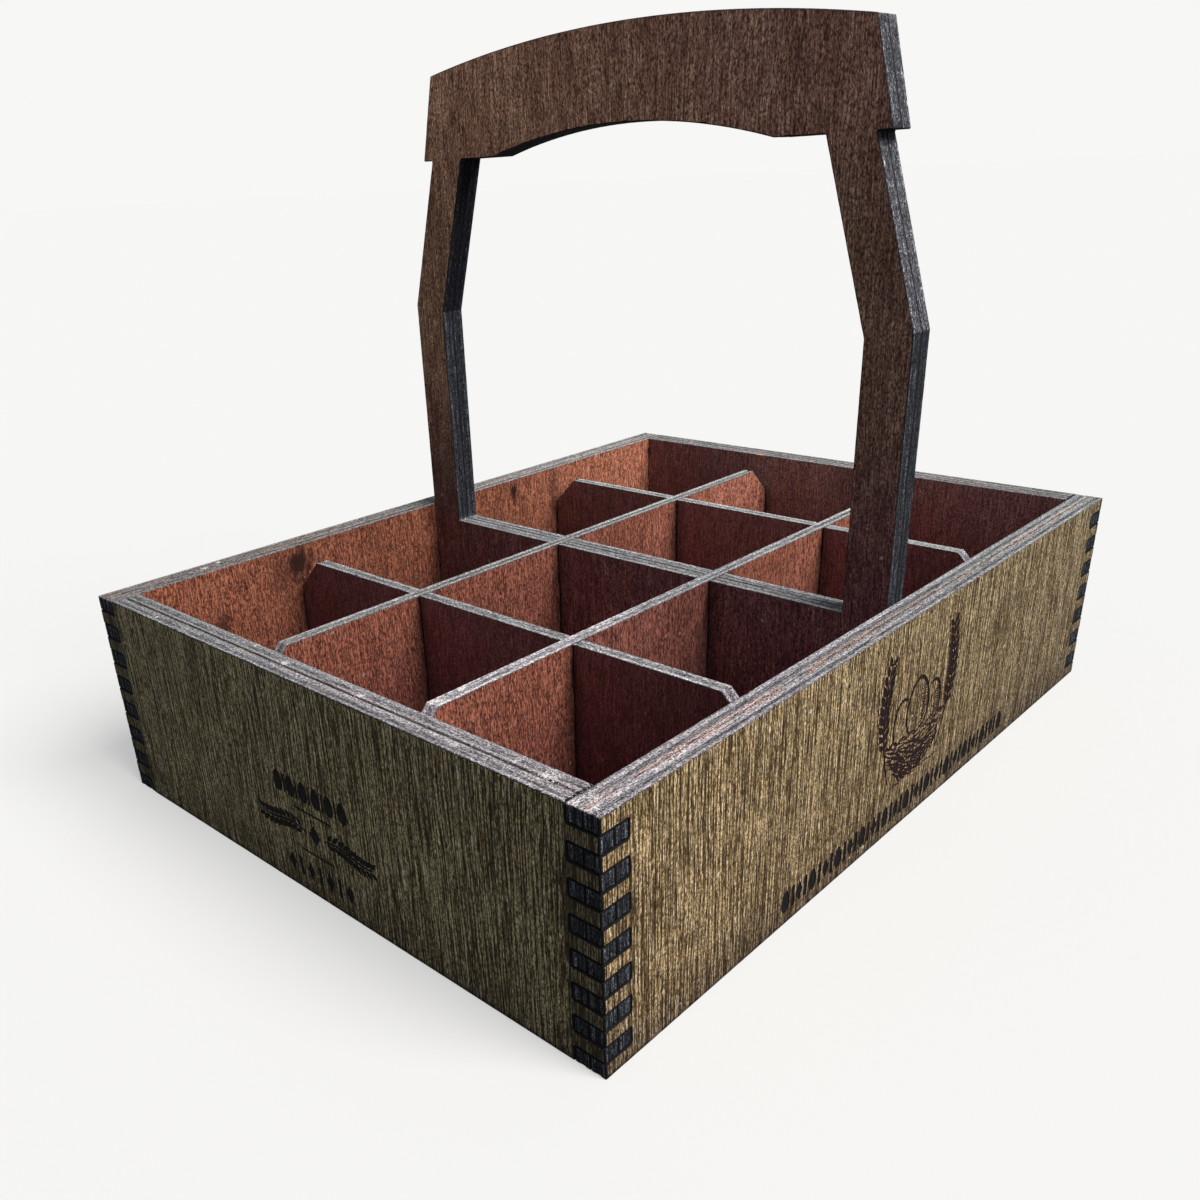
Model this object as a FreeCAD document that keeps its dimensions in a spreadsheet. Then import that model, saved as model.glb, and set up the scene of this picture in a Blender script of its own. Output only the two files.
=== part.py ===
import FreeCAD, Part
import math
import os

import Sketcher

# Egg carrier crate: a finger-jointed tray of laser-cut plywood for twelve
# eggs, with a yoke-shaped carrying handle across its middle and a lift-out
# grid of four halved dividers.
#
# Frame: millimetres, +Z up, +X along the long side. The origin is the middle
# of the underside. The front long wall is at -Y, the left short wall at -X.

os.makedirs("parts", exist_ok=True)
doc = FreeCAD.newDocument("EggCarrierCrate")

# ---------------------------------------------------------------- dimensions

DIMENSIONS = [
    ("ply", 4.0, "thickness of one plywood sheet"),
    ("cell", 53.0, "clear width of an egg cell, both ways"),
    ("crate_height", 60.0, "height of the walls"),
    ("finger", 4.0, "height of one finger of the corner joints"),
    ("divider_top", 56.0, "height of the dividers' top edges above the ground"),
    ("divider_chamfer", 9.0, "cut-off upper corners of the dividers"),
    ("end_gap", 0.25, "play between a divider's end and the wall"),
    ("slot_gap", 0.15, "play on each side of a sheet in its slot"),
    ("slot_relief", 0.25, "how far each slot runs past half height"),
    ("leg_gap", 0.1, "glue line between a handle leg and the long wall"),
    ("leg_width", 12.0, "width of the handle's legs"),
    ("knee_outer", 124.4, "height of the legs' outer knees, where they start to lean in"),
    ("knee_inner", 122.6, "height of the inner knees, on the same mitre line"),
    ("bar_bottom", 164.8, "height of the flat part of the bar's underside"),
    ("leg_top_outer", 70.8, "half width over the legs where they meet the bar"),
    ("leg_top_inner", 58.5, "half width between the legs where they meet the bar"),
    ("bar_half", 74.5, "half width of the bar at its lower corners"),
    ("bar_shoulder", 68.9, "half width of the bar at its upper corners"),
    ("bar_shoulder_height", 186.4, "height of the bar's upper corners"),
    ("bar_crown", 6.0, "rise of the bar's top edge between its upper corners"),
    ("arch_half", 45.3, "half width of the arched grip in the bar's underside"),
    ("arch_rise", 5.8, "height of that arch"),
    ("tab_centre", 57.0, "distance of the handle's floor tabs from the middle"),
    ("tab_width", 20.0, "width of those tabs"),
]

sheet = doc.addObject("Spreadsheet::Sheet", "Dims")
for number, (alias, value, words) in enumerate(DIMENSIONS, start=1):
    sheet.set("A%d" % number, words)
    sheet.set("B%d" % number, repr(value))
    sheet.setAlias("B%d" % number, alias)
doc.recompute()


class Size:
    """A length that knows both its value and the formula over the sheet."""

    def __init__(self, value, formula):
        self.value = float(value)
        self.formula = formula

    @staticmethod
    def of(other):
        return other if isinstance(other, Size) else Size(other, repr(float(other)))

    def _join(self, sign, other, value):
        return Size(value, "(%s %s %s)" % (self.formula, sign, other.formula))

    def __add__(self, other):
        other = Size.of(other)
        return self._join("+", other, self.value + other.value)

    def __sub__(self, other):
        other = Size.of(other)
        return self._join("-", other, self.value - other.value)

    def __mul__(self, other):
        other = Size.of(other)
        return self._join("*", other, self.value * other.value)

    def __truediv__(self, other):
        other = Size.of(other)
        return self._join("/", other, self.value / other.value)

    def __neg__(self):
        return Size(-self.value, "(-1 * %s)" % self.formula)


D = {alias: Size(value, "Dims." + alias) for alias, value, _ in DIMENSIONS}
ZERO = Size(0, "0")

ply = D["ply"]
wall = ply * 2                                   # every wall is two sheets
inner_length = D["cell"] * 4 + ply * 4           # 4 cells, 2 dividers, the handle
inner_width = D["cell"] * 3 + ply * 2            # 3 cells, 2 dividers
half_length = inner_length / 2 + wall
half_width = inner_width / 2 + wall
height = D["crate_height"]
divider_height = D["divider_top"] - ply          # the dividers stand on the base
half_height = divider_height / 2
cross_x = D["cell"] + ply * 1.5                  # the cross dividers' mid planes
long_y = D["cell"] / 2 + ply / 2                 # the long dividers' mid planes

# ------------------------------------------------------------------ sketches


def origin_plane(body, role):
    for feature in body.Origin.OriginFeatures:
        if feature.Role == role:
            return feature
    raise RuntimeError("no " + role)


def new_sketch(body, name, role):
    sketch = body.newObject("Sketcher::SketchObject", name)
    sketch.AttachmentSupport = [(origin_plane(body, role), "")]
    sketch.MapMode = "FlatFace"
    return sketch


def bind(sketch, kind, args, size):
    index = sketch.addConstraint(Sketcher.Constraint(kind, *args, size.value))
    sketch.setExpression("Constraints[%d]" % index, size.formula)


def add_loop(sketch, points, arcs=None):
    """A closed outline, counter-clockwise, through points of (Size, Size).

    arcs maps the number of an edge to the radius of the arc that replaces it,
    bulging outwards. Level and plumb edges are held level and plumb, and each
    remaining coordinate has one dimension from the sketch's origin.
    """
    arcs = arcs or {}
    count = len(points)
    first = sketch.GeometryCount
    for i in range(count):
        a, b = points[i], points[(i + 1) % count]
        start = FreeCAD.Vector(a[0].value, a[1].value, 0)
        end = FreeCAD.Vector(b[0].value, b[1].value, 0)
        if i in arcs:
            radius = arcs[i].value
            middle = (start + end) * 0.5
            chord = end - start
            left = FreeCAD.Vector(-chord.y, chord.x, 0).normalize()
            centre = middle + left * math.sqrt(radius ** 2 - (chord.Length / 2) ** 2)
            circle = Part.Circle(centre, FreeCAD.Vector(0, 0, 1), radius)
            begin = math.atan2(start.y - centre.y, start.x - centre.x)
            finish = math.atan2(end.y - centre.y, end.x - centre.x)
            sketch.addGeometry(Part.ArcOfCircle(circle, begin, finish), False)
        else:
            sketch.addGeometry(Part.LineSegment(start, end), False)
    for i in range(count):
        sketch.addConstraint(Sketcher.Constraint(
            "Coincident", first + i, 2, first + (i + 1) % count, 1))

    same = [list(range(count)), list(range(count))]

    def root(group, k):
        while group[k] != k:
            k = group[k]
        return k

    for i in range(count):
        if i in arcs:
            continue
        j = (i + 1) % count
        a, b = points[i], points[j]
        for axis, kind in ((0, "Vertical"), (1, "Horizontal")):
            if abs(a[axis].value - b[axis].value) > 1e-9:
                continue
            ra, rb = root(same[axis], i), root(same[axis], j)
            if ra != rb:
                same[axis][rb] = ra
                sketch.addConstraint(Sketcher.Constraint(kind, first + i))
    for axis, kind, line in ((0, "DistanceX", -2), (1, "DistanceY", -1)):
        for i in range(count):
            if root(same[axis], i) != i:
                continue
            size = points[i][axis]
            if abs(size.value) < 1e-9:
                sketch.addConstraint(Sketcher.Constraint(
                    "PointOnObject", first + i, 1, line))
            else:
                bind(sketch, kind, (-1, 1, first + i, 1), size)
    for i, radius in arcs.items():
        bind(sketch, "Radius", (first + i,), radius)


def add_rectangle(sketch, left, right, low, high):
    add_loop(sketch, [(left, low), (right, low), (right, high), (left, high)])


# ------------------------------------------------------------------ features


def new_body(label, x=ZERO, y=ZERO, z=ZERO):
    body = doc.addObject("PartDesign::Body", label)
    body.Label = label
    body.Placement = FreeCAD.Placement(
        FreeCAD.Vector(x.value, y.value, z.value), FreeCAD.Rotation())
    for axis, size in (("x", x), ("y", y), ("z", z)):
        body.setExpression("Placement.Base." + axis, size.formula)
    return body


def pad(body, sketch, name):
    """One sheet thick, along the sketch's normal."""
    feature = body.newObject("PartDesign::Pad", name)
    feature.Profile = sketch
    feature.Type = "Length"
    feature.setExpression("Length", ply.formula)
    sketch.Visibility = False
    body.Tip = feature
    doc.recompute()
    return feature


def cut_through(body, sketch, name):
    """Right through the sheet, along the sketch's normal."""
    before = body.Shape.Volume
    feature = body.newObject("PartDesign::Pocket", name)
    feature.Profile = sketch
    feature.Type = "ThroughAll"
    feature.Reversed = True
    sketch.Visibility = False
    body.Tip = feature
    doc.recompute()
    if not feature.Shape.Volume < before - 1.0:
        raise RuntimeError(name + " cuts nothing")
    return feature


def repeat_up(body, feature, name, times):
    """The feature repeated upwards, every second finger."""
    before = body.Shape.Volume
    pattern = body.newObject("PartDesign::LinearPattern", name)
    pattern.Originals = [feature]
    pattern.Direction = (origin_plane(body, "Z_Axis"), [""])
    pattern.Mode = "Spacing"
    pattern.setExpression("Offset", (D["finger"] * 2).formula)
    pattern.Occurrences = times
    body.Tip = pattern
    doc.recompute()
    if not pattern.Shape.Volume < before - 1.0:
        raise RuntimeError(name + " repeats nothing")
    return pattern


def chamfer_corners(body, feature, name, corners):
    """Chamfer the edges that cross the sheet at the given outline corners."""
    edges = []
    for number, edge in enumerate(feature.Shape.Edges, start=1):
        a, b = edge.Vertexes[0].Point, edge.Vertexes[-1].Point
        for x, z in corners:
            if all(abs(p[0] - x) < 1e-6 and abs(p[1] - z) < 1e-6
                   for p in ((horizontal(body, a), a.z), (horizontal(body, b), b.z))):
                edges.append("Edge%d" % number)
    if len(edges) != len(corners):
        raise RuntimeError("%s found %d edges" % (name, len(edges)))
    result = body.newObject("PartDesign::Chamfer", name)
    result.Base = (feature, edges)
    result.setExpression("Size", D["divider_chamfer"].formula)
    body.Tip = result
    doc.recompute()
    return result


def horizontal(body, point):
    """A point's coordinate along its sheet's own length."""
    return point.x if body.Label.startswith("long") else point.y


# -------------------------------------------------------------------- pieces


def wall_sheet(label, role, half, notch_low, notches, x=ZERO, y=ZERO):
    """One of the two sheets of a wall: a board with fingers at both ends.

    The notches between the fingers are as deep as the neighbouring wall is
    thick, so that each wall's fingers come out flush in the other's face.
    """
    body = new_body(label, x=x, y=y)
    board = new_sketch(body, label + "_board", role)
    add_rectangle(board, -half, half, ZERO, height)
    pad(body, board, label + "_sheet")
    notch = new_sketch(body, label + "_notch", role)
    top = notch_low + D["finger"]
    add_rectangle(notch, -half, -half + wall, notch_low, top)
    add_rectangle(notch, half - wall, half, notch_low, top)
    cut = cut_through(body, notch, label + "_notch_pair")
    repeat_up(body, cut, label + "_fingers", notches)
    return body


# The long walls have the fingers at top and bottom: notches 2, 4 ... 14.
# A sheet drawn on the XZ plane grows towards -Y from its placement.
wall_sheet("front_wall_outer", "XZ_Plane", half_length, D["finger"], 7, y=-half_width + ply)
wall_sheet("front_wall_inner", "XZ_Plane", half_length, D["finger"], 7, y=-half_width + wall)
wall_sheet("back_wall_inner", "XZ_Plane", half_length, D["finger"], 7, y=half_width - ply)
wall_sheet("back_wall_outer", "XZ_Plane", half_length, D["finger"], 7, y=half_width)

# The short walls have the fingers in between: notches 1, 3 ... 15.
# A sheet drawn on the YZ plane grows towards +X from its placement.
wall_sheet("left_wall_outer", "YZ_Plane", half_width, ZERO, 8, x=-half_length)
wall_sheet("left_wall_inner", "YZ_Plane", half_width, ZERO, 8, x=-half_length + ply)
wall_sheet("right_wall_inner", "YZ_Plane", half_width, ZERO, 8, x=half_length - wall)
wall_sheet("right_wall_outer", "YZ_Plane", half_width, ZERO, 8, x=half_length - ply)

# The base lies between the walls, flush with their lower edges. Its two
# mortises take the handle's tabs.
base = new_body("base_panel")
floor = new_sketch(base, "base_board", "XY_Plane")
add_rectangle(floor, -(inner_length / 2), inner_length / 2,
              -(inner_width / 2), inner_width / 2)
pad(base, floor, "base_sheet")
mortise = new_sketch(base, "base_mortise_outline", "XY_Plane")
tab_in = D["tab_centre"] - D["tab_width"] / 2
tab_out = D["tab_centre"] + D["tab_width"] / 2
add_rectangle(mortise, -ply, ply, tab_in, tab_out)
add_rectangle(mortise, -ply, ply, -tab_out, -tab_in)
cut_through(base, mortise, "base_mortises")


def radius_of(half_chord, rise):
    return (half_chord * half_chord + rise * rise) / (rise * 2)


def handle_plate(label, x):
    """One of the handle's two sheets.

    A board across the crate with a tab in each half's floor mortise, two legs
    that stand against the long walls and lean inwards above the knee, and an
    arched bar. Below the window the board is halved for the long dividers.
    """
    body = new_body(label, x=x)
    foot = inner_width / 2 - D["leg_gap"]
    leg_in = foot - D["leg_width"]
    right = [
        (tab_in, ply), (tab_in, ZERO), (tab_out, ZERO), (tab_out, ply),
        (foot, ply), (foot, D["knee_outer"]),
        (D["leg_top_outer"], D["bar_bottom"]), (D["bar_half"], D["bar_bottom"]),
        (D["bar_shoulder"], D["bar_shoulder_height"]),
    ]
    left = [(-y, z) for y, z in reversed(right)]
    outline = new_sketch(body, label + "_outline", "YZ_Plane")
    add_loop(outline, right + left,
             arcs={len(right) - 1: radius_of(D["bar_shoulder"], D["bar_crown"])})
    pad(body, outline, label + "_sheet")

    side = [
        (leg_in, D["divider_top"]), (leg_in, D["knee_inner"]),
        (D["leg_top_inner"], D["bar_bottom"]), (D["arch_half"], D["bar_bottom"]),
    ]
    window = new_sketch(body, label + "_window_outline", "YZ_Plane")
    add_loop(window, side + [(-y, z) for y, z in reversed(side)],
             arcs={len(side) - 1: radius_of(D["arch_half"], D["arch_rise"])})
    cut_through(body, window, label + "_window")

    slots = new_sketch(body, label + "_slot_outline", "YZ_Plane")
    half_slot = ply / 2 + D["slot_gap"]
    low = ply + half_height - D["slot_relief"]
    add_rectangle(slots, long_y - half_slot, long_y + half_slot, low, D["divider_top"])
    add_rectangle(slots, -long_y - half_slot, -long_y + half_slot, low, D["divider_top"])
    cut_through(body, slots, label + "_slots")
    return body


handle_plate("handle_plate_left", -ply)
handle_plate("handle_plate_right", ZERO)


def long_divider(label, y):
    """A divider along the crate, slotted from below for the three sheets it
    crosses: the two cross dividers and, in the middle, the double handle."""
    body = new_body(label, y=y + ply / 2, z=ply)
    half = inner_length / 2 - D["end_gap"]
    board = new_sketch(body, label + "_board", "XZ_Plane")
    add_rectangle(board, -half, half, ZERO, divider_height)
    sheet_feature = pad(body, board, label + "_sheet")
    chamfer_corners(body, sheet_feature, label + "_corners",
                    [(half.value, divider_height.value), (-half.value, divider_height.value)])
    slots = new_sketch(body, label + "_slot_outline", "XZ_Plane")
    top = half_height + D["slot_relief"]
    single = ply / 2 + D["slot_gap"]
    double = ply + D["slot_gap"]
    add_rectangle(slots, -cross_x - single, -cross_x + single, ZERO, top)
    add_rectangle(slots, -double, double, ZERO, top)
    add_rectangle(slots, cross_x - single, cross_x + single, ZERO, top)
    cut_through(body, slots, label + "_slots")
    return body


long_divider("long_divider_front", -long_y)
long_divider("long_divider_back", long_y)


def cross_divider(label, x):
    """A divider across the crate, slotted from above for the long dividers."""
    body = new_body(label, x=x - ply / 2, z=ply)
    half = inner_width / 2 - D["end_gap"]
    board = new_sketch(body, label + "_board", "YZ_Plane")
    add_rectangle(board, -half, half, ZERO, divider_height)
    sheet_feature = pad(body, board, label + "_sheet")
    chamfer_corners(body, sheet_feature, label + "_corners",
                    [(half.value, divider_height.value), (-half.value, divider_height.value)])
    slots = new_sketch(body, label + "_slot_outline", "YZ_Plane")
    low = half_height - D["slot_relief"]
    half_slot = ply / 2 + D["slot_gap"]
    add_rectangle(slots, -long_y - half_slot, -long_y + half_slot, low, divider_height)
    add_rectangle(slots, long_y - half_slot, long_y + half_slot, low, divider_height)
    cut_through(body, slots, label + "_slots")
    return body


cross_divider("cross_divider_left", -cross_x)
cross_divider("cross_divider_right", cross_x)

# -------------------------------------------------------------------- export

doc.recompute()
for item in doc.Objects:
    if "Invalid" in item.State or "Error" in item.State:
        raise RuntimeError("%s is in state %s" % (item.Name, item.State))

pieces = [item for item in doc.Objects if item.TypeId == "PartDesign::Body"]
for piece in pieces:
    shape = piece.Shape
    if shape.isNull() or not shape.isValid() or len(shape.Solids) != 1:
        raise RuntimeError("%s has no valid single solid" % piece.Label)

for piece in pieces:
    piece.Shape.exportStep("parts/%s.step" % piece.Label)
    box = piece.Shape.BoundBox
    print("%-20s volume %9.1f mm3  x %.2f..%.2f  y %.2f..%.2f  z %.2f..%.2f" % (
        piece.Label, piece.Shape.Volume,
        box.XMin, box.XMax, box.YMin, box.YMax, box.ZMin, box.ZMax))
print("%d pieces" % len(pieces))
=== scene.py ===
import math

import bmesh
import bpy
import numpy as np
from mathutils import Matrix, Vector, geometry, noise


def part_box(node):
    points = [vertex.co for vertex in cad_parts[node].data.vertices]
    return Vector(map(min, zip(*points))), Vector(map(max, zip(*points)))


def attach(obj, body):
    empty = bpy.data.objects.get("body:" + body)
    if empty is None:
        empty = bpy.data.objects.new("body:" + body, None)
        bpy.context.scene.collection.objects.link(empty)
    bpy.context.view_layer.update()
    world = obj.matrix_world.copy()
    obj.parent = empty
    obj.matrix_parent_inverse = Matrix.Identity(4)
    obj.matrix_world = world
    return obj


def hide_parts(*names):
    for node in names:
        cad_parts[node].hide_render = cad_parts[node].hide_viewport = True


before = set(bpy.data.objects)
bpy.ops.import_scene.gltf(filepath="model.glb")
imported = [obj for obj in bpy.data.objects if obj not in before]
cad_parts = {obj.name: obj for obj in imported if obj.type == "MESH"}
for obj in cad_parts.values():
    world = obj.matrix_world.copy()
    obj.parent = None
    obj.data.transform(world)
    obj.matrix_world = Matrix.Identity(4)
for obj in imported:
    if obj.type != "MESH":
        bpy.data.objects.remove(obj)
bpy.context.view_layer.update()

# Every length below is in millimetres and turned into metres when a mesh is
# made. The pieces are redrawn from the frame's own sizes as laser-cut plywood
# sheets: broken arrises, a slightly sunk core ply, wandering cut edges,
# fingers that end a hair below the face they come out in, engraved ornaments.

MM = 0.001


def node_box(name):
    low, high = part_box(name)
    return [v * 1000 for v in low], [v * 1000 for v in high]


# ------------------------------------------------------------ plane outlines


def rounded(points, radius, steps=3):
    """A closed outline with its corners rounded. A point may carry its own
    radius as a third number."""
    out = []
    n = len(points)
    for i in range(n):
        p = Vector(points[i][:2])
        a = Vector(points[i - 1][:2])
        b = Vector(points[(i + 1) % n][:2])
        r = points[i][2] if len(points[i]) > 2 else radius
        u, v = (a - p), (b - p)
        lu, lv = u.length, v.length
        u, v = u / lu, v / lv
        cosine = max(-1.0, min(1.0, u.dot(v)))
        angle = math.acos(cosine)
        if r <= 0 or angle > math.radians(172):
            out.append((p.x, p.y))
            continue
        d = min(r / math.tan(angle / 2), lu * 0.45, lv * 0.45)
        r = d * math.tan(angle / 2)
        centre = p + (u + v).normalized() * (r / math.sin(angle / 2))
        s, e = p + u * d - centre, p + v * d - centre
        sweep = math.atan2(s.x * e.y - s.y * e.x, s.dot(e))
        for k in range(steps + 1):
            t = sweep * k / steps
            c, q = math.cos(t), math.sin(t)
            out.append((centre.x + s.x * c - s.y * q, centre.y + s.x * q + s.y * c))
    return out


def resampled(points, step):
    out = []
    n = len(points)
    for i in range(n):
        a, b = points[i], points[(i + 1) % n]
        length = math.hypot(b[0] - a[0], b[1] - a[1])
        parts = max(1, int(math.ceil(length / step)))
        for k in range(parts):
            t = k / parts
            out.append((a[0] + (b[0] - a[0]) * t, a[1] + (b[1] - a[1]) * t))
    return out


def area(points):
    return 0.5 * sum(
        points[i - 1][0] * points[i][1] - points[i][0] * points[i - 1][1]
        for i in range(len(points)))


def ccw(points):
    return points if area(points) > 0 else points[::-1]


def mitres(points):
    """For each point the step that moves the outline 1 mm to its left."""
    p = np.array(points, float)
    d = np.roll(p, -1, 0) - p
    d /= np.linalg.norm(d, axis=1)[:, None]
    n = np.c_[-d[:, 1], d[:, 0]]
    before = np.roll(n, 1, 0)
    dot = np.clip((n * before).sum(1), -0.75, 1)
    return (n + before) / (1 + dot)[:, None]


def wobble(points, seed, scale=0.35):
    """Smooth random numbers from -1 to 1 along an outline."""
    return np.array([
        noise.noise(Vector((x * scale + seed * 7.31, y * scale - seed * 3.17, seed * 1.77)))
        for x, y in points])


# -------------------------------------------------------------------- sheets

FREE, GLUED = "free", "glued"


def face_cap(loops, motifs):
    """Triangles of a sheet's face. Returns points, triangles as point numbers,
    which input point each one is, and which triangles lie in a motif."""
    coords, faces = [], []
    for loop in loops + motifs:
        faces.append(list(range(len(coords), len(coords) + len(loop))))
        coords.extend(loop)
    faces = [f if area([coords[i] for i in f]) > 0 else f[::-1] for f in faces]
    made = geometry.delaunay_2d_cdt(
        [Vector(c) for c in coords], [], faces, 0, 1e-5, True)
    points, _, tris, from_points, _, from_faces = made
    holes = set(range(1, len(loops)))
    kept, cut = [], []
    for tri, origin in zip(tris, from_faces):
        origin = set(origin)
        if 0 not in origin or origin & holes:
            continue
        kept.append(list(tri))
        cut.append(any(o >= len(loops) for o in origin))
    return [tuple(p) for p in points], kept, [list(f) for f in from_points], cut


def sheet(name, loops, place, thickness=4.0, side_a=FREE, side_b=FREE, motifs=(),
          depth=0.16, seed=1, step=1.3, char=None):
    """A plywood sheet as one closed mesh.

    loops: the outline, then the holes, in the sheet's own plane. place turns
    (across, up, depth) into the row frame; depth 0 is face A. A free side has
    a broken, nicked arris, a glued side a small one, so that two sheets glued
    together show a fine groove. char(x, y) widens the burnt arris.
    Slots: 0 face A, 1 cut edge, 2 face B, 3 engraving in face A.
    """
    t = thickness
    profile = []
    profile += ([(0.23, 0.0, 0.10), (0.07, 0.05, 0.05), (0.0, 0.21, 0.02)]
                if side_a == FREE else [(0.17, 0.0, 0.06), (0.0, 0.20, 0.02)])
    profile += [(0.0, t * 0.29, 0.02), (0.07, t * 0.32, 0.04),
                (0.10, t * 0.50, 0.05), (0.07, t * 0.68, 0.04), (0.0, t * 0.71, 0.02)]
    profile += ([(0.0, t - 0.21, 0.02), (0.07, t - 0.05, 0.05), (0.23, t, 0.10)]
                if side_b == FREE else [(0.0, t - 0.20, 0.02), (0.17, t, 0.06)])

    verts, faces, slots, smooth = [], [], [], []
    rings_of = []
    for number, loop in enumerate(loops):
        loop = ccw(loop) if number == 0 else ccw(loop)[::-1]
        loop = resampled(loop, step)
        p, m = np.array(loop), mitres(loop)
        near_corner = np.abs(np.linalg.norm(m, axis=1) - 1) > 0.02
        calm = np.where(near_corner | np.roll(near_corner, 1) | np.roll(near_corner, -1),
                        0.25, 1.0)
        rings = []
        for k, (inset, c, rough) in enumerate(profile):
            w = wobble(loop, seed + k * 0.37 + number * 11, 0.55)
            nicks = np.clip(wobble(loop, seed + 40 + number, 0.9) - 0.35, 0, 1)
            extra = w * rough * calm
            if rough >= 0.1:
                extra = extra + nicks * 0.55 * calm
            d = np.clip(inset + extra, 0.0 if inset < 0.01 else 0.02, None)
            if char is not None and inset > 0.2:
                d = d + np.array([char(x, y) for x, y in loop])
            # the cut wanders a few hundredths, always inwards
            drift = (wobble(loop, seed + 5, 0.06) + 1) * 0.015
            q = p + m * (d + drift)[:, None]
            first = len(verts)
            verts.extend(place(x, y, c) for x, y in q)
            rings.append((first, q))
        n = len(loop)
        for (a, _), (b, _) in zip(rings, rings[1:]):
            for i in range(n):
                j = (i + 1) % n
                faces.append((a + i, a + j, b + j, b + i))
                slots.append(1)
                smooth.append(True)
        rings_of.append((rings[0], rings[-1], n))

    for side, end in ((0, 0), (2, 1)):
        cap_loops = [[tuple(v) for v in r[end][1]] for r in rings_of]
        numbers = []
        for r in rings_of:
            numbers.extend(range(r[end][0], r[end][0] + r[2]))
        patterns = [resampled(ccw(list(q)), 2.5) for q in motifs] if side == 0 else []
        points, tris, origins, cut = face_cap(cap_loops, patterns)
        level = 0.0 if side == 0 else t
        top, low = {}, {}

        def at(i):
            if i not in top:
                ring = [o for o in origins[i] if o < len(numbers)]
                if ring:
                    top[i] = numbers[ring[0]]
                else:
                    top[i] = len(verts)
                    verts.append(place(points[i][0], points[i][1], level))
            return top[i]

        def under(i):
            if i not in low:
                low[i] = len(verts)
                x, y = points[i]
                verts.append(place(x, y, depth + 0.03 * noise.noise(Vector((x, y, seed)))))
            return low[i]

        border = {}
        for tri, deep in zip(tris, cut):
            ids = [under(i) if deep else at(i) for i in tri]
            faces.append(tuple(ids))
            slots.append(3 if deep else side)
            smooth.append(False)
            for k in range(3):
                edge = (tri[k], tri[(k + 1) % 3])
                border.setdefault(tuple(sorted(edge)), []).append((edge, deep))
        for found in border.values():
            if len(found) == 2 and found[0][1] != found[1][1]:
                (i, j), _ = found[0] if found[0][1] else found[1]
                faces.append((at(i), at(j), under(j), under(i)))
                slots.append(3)
                smooth.append(False)

    mesh = bpy.data.meshes.new(name)
    mesh.from_pydata([Vector(v) * MM for v in verts], [], faces)
    mesh.polygons.foreach_set("material_index", slots)
    mesh.polygons.foreach_set("use_smooth", smooth)
    bm = bmesh.new()
    bm.from_mesh(mesh)
    bmesh.ops.recalc_face_normals(bm, faces=bm.faces)
    bad = sum(1 for e in bm.edges if not e.is_manifold)
    loose = [v for v in bm.verts if not v.link_faces]
    bmesh.ops.delete(bm, geom=loose, context="VERTS")
    if bm.calc_volume(signed=True) < 0:
        bmesh.ops.reverse_faces(bm, faces=bm.faces)
    bm.to_mesh(mesh)
    bm.free()
    mesh.update()
    if bad:
        print("sheet %s has %d open edges" % (name, bad))
    piece = bpy.data.objects.new(name, mesh)
    bpy.context.scene.collection.objects.link(piece)
    return piece


# ----------------------------------------------------------------- ornaments


def stroke(points, width, tip=0.35):
    """A line with a swelling middle, as a closed outline."""
    n = len(points)
    left, right = [], []
    for i, (x, y) in enumerate(points):
        a, b = points[max(0, i - 1)], points[min(n - 1, i + 1)]
        dx, dy = b[0] - a[0], b[1] - a[1]
        length = math.hypot(dx, dy) or 1.0
        swell = tip + (1 - tip) * math.sin(math.pi * i / (n - 1))
        w = width * swell / 2
        left.append((x - dy / length * w, y + dx / length * w))
        right.append((x + dy / length * w, y - dx / length * w))
    return left + right[::-1]


def bow(x0, y0, x1, y1, rise, n=7):
    """Points on a shallow bow from one point to another."""
    out = []
    dx, dy = x1 - x0, y1 - y0
    length = math.hypot(dx, dy) or 1.0
    for i in range(n):
        t = i / (n - 1)
        h = rise * 4 * t * (1 - t)
        out.append((x0 + dx * t - dy / length * h, y0 + dy * t + dx / length * h))
    return out


def oval(cx, cy, rx, ry, turn=0.0, n=18, egg=0.0):
    """An oval, or an egg that is fuller at its foot."""
    out = []
    c, s = math.cos(turn), math.sin(turn)
    for i in range(n):
        a = 2 * math.pi * i / n
        x, y = math.cos(a) * rx * (1 - egg * math.sin(a)), math.sin(a) * ry
        out.append((cx + x * c - y * s, cy + x * s + y * c))
    return out


def leaf(x, y, angle, length, width, n=6):
    """A pointed grain that starts at a point."""
    out = []
    c, s = math.cos(angle), math.sin(angle)
    side = [(length * i / n, width / 2 * math.sin(math.pi * (i / n) ** 0.85)) for i in range(n + 1)]
    for u, v in side + [(u, -v) for u, v in side[-2:0:-1]]:
        out.append((x + u * c - v * s, y + u * s + v * c))
    return out


def lozenge(cx, cy, w, h):
    return [(cx - w / 2, cy), (cx, cy - h / 2), (cx + w / 2, cy), (cx, cy + h / 2)]


def block(x0, y0, x1, y1):
    return [(x0, y0), (x1, y0), (x1, y1), (x0, y1)]


def outline_of(points, width, parts=4):
    """A closed line drawn as a few overlapping strokes."""
    out = []
    n = len(points)
    for k in range(parts):
        a, b = n * k // parts, n * (k + 1) // parts
        out.append(stroke([points[i % n] for i in range(a - 1, b + 2)], width, 0.55))
    return out


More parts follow.
